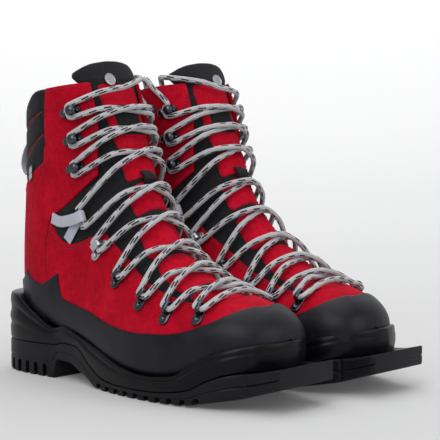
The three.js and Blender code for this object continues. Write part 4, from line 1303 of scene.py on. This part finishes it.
def patch_sewing():
    shapes = []
    for patch in TONGUE_PATCHES:
        t, wide = patch_at(patch, np.linspace(-0.86, 0.86, 24))
        for way in (-1, 1):
            shapes += seam_stitches(path_of(t, way * wide * 0.9), PATCH_FACE)
        for end, wide_end in ((-0.88, patch[3]), (0.88, patch[2])):
            across = path_of(patch_at(patch, end)[0], np.linspace(-0.86, 0.86, 16) * wide_end)
            shapes += seam_stitches(across, PATCH_FACE)
    return joined(shapes)


def tongue_badge():
    """Plain round badge with a raised ring and three short bars."""
    profile = [(0, 0), (5.2, 0), (5.4, 0.5), (5.2, 1.0), (4.6, 1.1), (4.4, 0.8), (0.01, 0.8), (0, 0.8)]
    shapes = [turned(profile, 36)]
    for y in (-1.6, 0, 1.6):
        line = [(x, y, 0.85) for x in np.linspace(-2.3, 2.3, 6)]
        shapes.append(sweep(line, (0, 1, 0), soft_box(0.9, 0.6, 4, 12)))
    return settled(moved(joined(shapes), (0, 0, -1.7)), 16.22, 11.5)


def care_patch():
    """Blank woven patch on the tongue."""
    return sheet(*grid_of(12.3, 14.1, 20, -20, 20, 20), -2.75, -3.4, edge=0.3)


def patch_bars():
    angle = np.linspace(-15, 15, 20)
    shapes = []
    for t in (12.55, 13.75):
        points = skin(t + 0.05 * np.cos(angle / 5), angle, -2.7)
        shapes.append(sweep(points, facing(t, angle)[0], soft_box(1.3, 0.4, 4, 12)))
    return joined(shapes)


def side_tab():
    """Small blank woven tab caught in the seam of the collar panel, on the outer side only."""
    return sheet(*grid_of(13.1, 13.45, 12, 112, 117.5, 10), 1.9, 1.2, edge=0.25)


def lace_keeper():
    t, angle = grid_of(9.55, 10.35, 14, -9, 9, 14)
    hump = 4.6 * bell(t, 9.95, 0.28, 4)
    return sheet(t, angle, -2.9 + hump, -3.6 + hump * 0.85, edge=0.3)


def place_fittings():
    hook, loop, lock = speed_hook(), lace_loop(3.4, 0), lace_loop(6.4, 4)
    for name, way in zip(FITTINGS, (1, -1)):
        for k, (kind, t, angle) in enumerate(ROWS):
            if kind == "strap":
                strap = ankle_strap(way)
                both(f"notch_strap_{name}", strap, STRAP, "boot", [f"ankle_strap_{name}"])
                continue
            shape, finish, part, label, node = {
                "hook": (hook, GUNMETAL, "cuff", f"speed_hook_{k - 5}", f"hook_{k - 5}"),
                "loop": (loop, GUNMETAL, "boot", f"lace_loop_{k + 1}", f"loop_{k + 1}"),
                "lock": (lock, NICKEL, "boot", "ribbed_lock", "lace_lock"),
            }[kind]
            placed = settled(shape, t, way * angle)
            both(f"{label}_{name}", placed, finish, part, [f"{node}_{name}"])


both("vamp_leather", vamp_leather(), RED, "boot", ["vamp"])
both("cuff_leather", cuff_leather(), RED, "level", ["cuff"])
for padding in both("collar_padding", collar_padding(), KNIT, "cuff", ["collar_pad"]):
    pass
both("collar_piping", collar_piping(), THREAD, "cuff")
for padding in both("tongue_padding", tongue_padding(), CORDURA, "laced", ["tongue"]):
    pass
both("tongue_patches", tongue_patches(), RED_TONGUE, "laced")
for padding in both("notch_gusset", throat_padding(), CORDURA, "notch"):
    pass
both("lining_shell", lining_shell(), KNIT, "level", ["lining"])
both("toe_lining", toe_lining(), KNIT, "boot")
both("felt_footbed", footbed_sheet(), FELT, "boot", ["footbed"])
both("rand_cover", rand_cover(), RAND, "boot", ["rand"])
make_midsole()
make_outsole()
both("braided_lace", lace_cord(), CORD, "laced", ["lace"])
place_fittings()
both("grip_loop", grip_loop(), GRIP, "cuff", ["pull_loop"])
both("vamp_sewing", vamp_sewing(), THREAD, "boot")
both("cuff_sewing", cuff_sewing(), THREAD, "level")
both("patch_sewing", patch_sewing(), THREAD, "laced")
both("tongue_badge", tongue_badge(), NICKEL, "laced", sharp=30)
both("care_patch", care_patch(), CORDURA, "laced")
both("patch_bars", patch_bars(), GRIP, "laced")
both("side_tab", side_tab(), GRIP, "cuff")
both("lace_keeper", lace_keeper(), CORDURA, "laced")
for side in SIDES:
    board = frame["nodes"][f"{side}_lasting_board"]
    board.data.materials.clear()
    board.data.materials.append(FELT)


# ---------------------------------------------------------------------------------------------
# Studio

# Where the view stands, how far it is turned from the row's front, and how far it looks down.
VIEW_PLACE = (-0.90214, -0.84734, 0.22951)
VIEW_TURN, VIEW_DROP = math.radians(-47.43), math.radians(4.56)
VIEW_LENS = 123.0
LIGHT_AIM = (0, 0, 0.12)


def studio():
    """Paper floor that sweeps up into a backdrop: painted light grey at the front and white at the back as
    painted shade, with an emission that grows towards the back as painted light.
    """
    paper, tree, shader = finish_of("studio_paper_painted_light", {
        "Roughness": 0.9, "Specular IOR Level": 0.2, "Emission Strength": 1.0,
    })
    deep = add(tree, "SeparateXYZ", (), {0: spot_of(tree)}).outputs[1]
    painted_light_share = mix(tree, 0.02, spread(tree, deep, {"From Min": -0.4, "From Max": 2.2}), noise(tree, 3))
    # The paper's colour darkens towards the front: painted shade.
    paint(tree, shader, painted_light_share, [(0, "#BFBFBF"), (0.3, "#C8C8C8"), (0.6, "#D6D6D6"), (1, "#EEEEEE")])
    # Emission that brightens towards the back: painted light, though the paper is no lamp.
    painted_glow = [(0, "#303030"), (0.4, "#585858"), (0.75, "#6C6C6C"), (1, "#969696")]
    tree.links.new(ramp(tree, painted_light_share, painted_glow), shader.inputs["Emission Color"])
    sweep_up = [(1.2 + 1.2 * math.sin(a), 1.2 - 1.2 * math.cos(a)) for a in np.linspace(0.1, math.pi / 2, 16)]
    outline = [(-3.0, 0.0), (1.2, 0.0), *sweep_up, (2.4, 4.5)]
    points = [(w, d, z) for d, z in outline for w in (-4.5, 4.5)]
    mesh = bpy.data.meshes.new("studio_paper")
    mesh.from_pydata(points, [], [(2 * k, 2 * k + 1, 2 * k + 3, 2 * k + 2) for k in range(len(outline) - 1)])
    mesh.polygons.foreach_set("use_smooth", [True] * len(mesh.polygons))
    mesh.materials.append(paper)
    floor = linked("studio_paper", mesh)
    floor.rotation_euler = (0, 0, VIEW_TURN)


def soft_light(name, place, size, power):
    lamp = bpy.data.lights.new(name, "AREA")
    lamp.shape, lamp.size, lamp.size_y, lamp.energy = "RECTANGLE", size, size, power
    holder = linked(name, lamp)
    holder.location = place
    holder.rotation_euler = (Vector(LIGHT_AIM) - Vector(place)).to_track_quat("-Z", "Y").to_euler()


def lights_and_camera():
    world = bpy.data.worlds.new("studio_air")
    world.use_nodes = True
    air = world.node_tree.nodes["Background"]
    air.inputs[0].default_value, air.inputs[1].default_value = linear("#F4F5F7"), 0.55
    bpy.context.scene.world = world
    soft_light("key_panel", (-1.5, -0.7, 1.5), 1.4, 22)
    soft_light("fill_panel", (0.5, -1.9, 0.9), 1.2, 9)
    soft_light("top_panel", (0.2, 0.3, 2.0), 1.8, 16)
    bpy.context.scene.view_settings.view_transform = "Standard"
    lens = bpy.data.cameras.new("camera")
    lens.lens, lens.sensor_width, lens.sensor_fit = VIEW_LENS, 36, "HORIZONTAL"
    camera = linked("camera", lens)
    right = Vector((math.cos(VIEW_TURN), math.sin(VIEW_TURN), 0))
    level = math.cos(VIEW_DROP)
    back = Vector((math.sin(VIEW_TURN) * level, -math.cos(VIEW_TURN) * level, math.sin(VIEW_DROP)))
    facing_way = Matrix((right, back.cross(right), back)).transposed().to_4x4()
    camera.matrix_world = Matrix.Translation(VIEW_PLACE) @ facing_way
    bpy.context.scene.camera = camera


studio()
lights_and_camera()
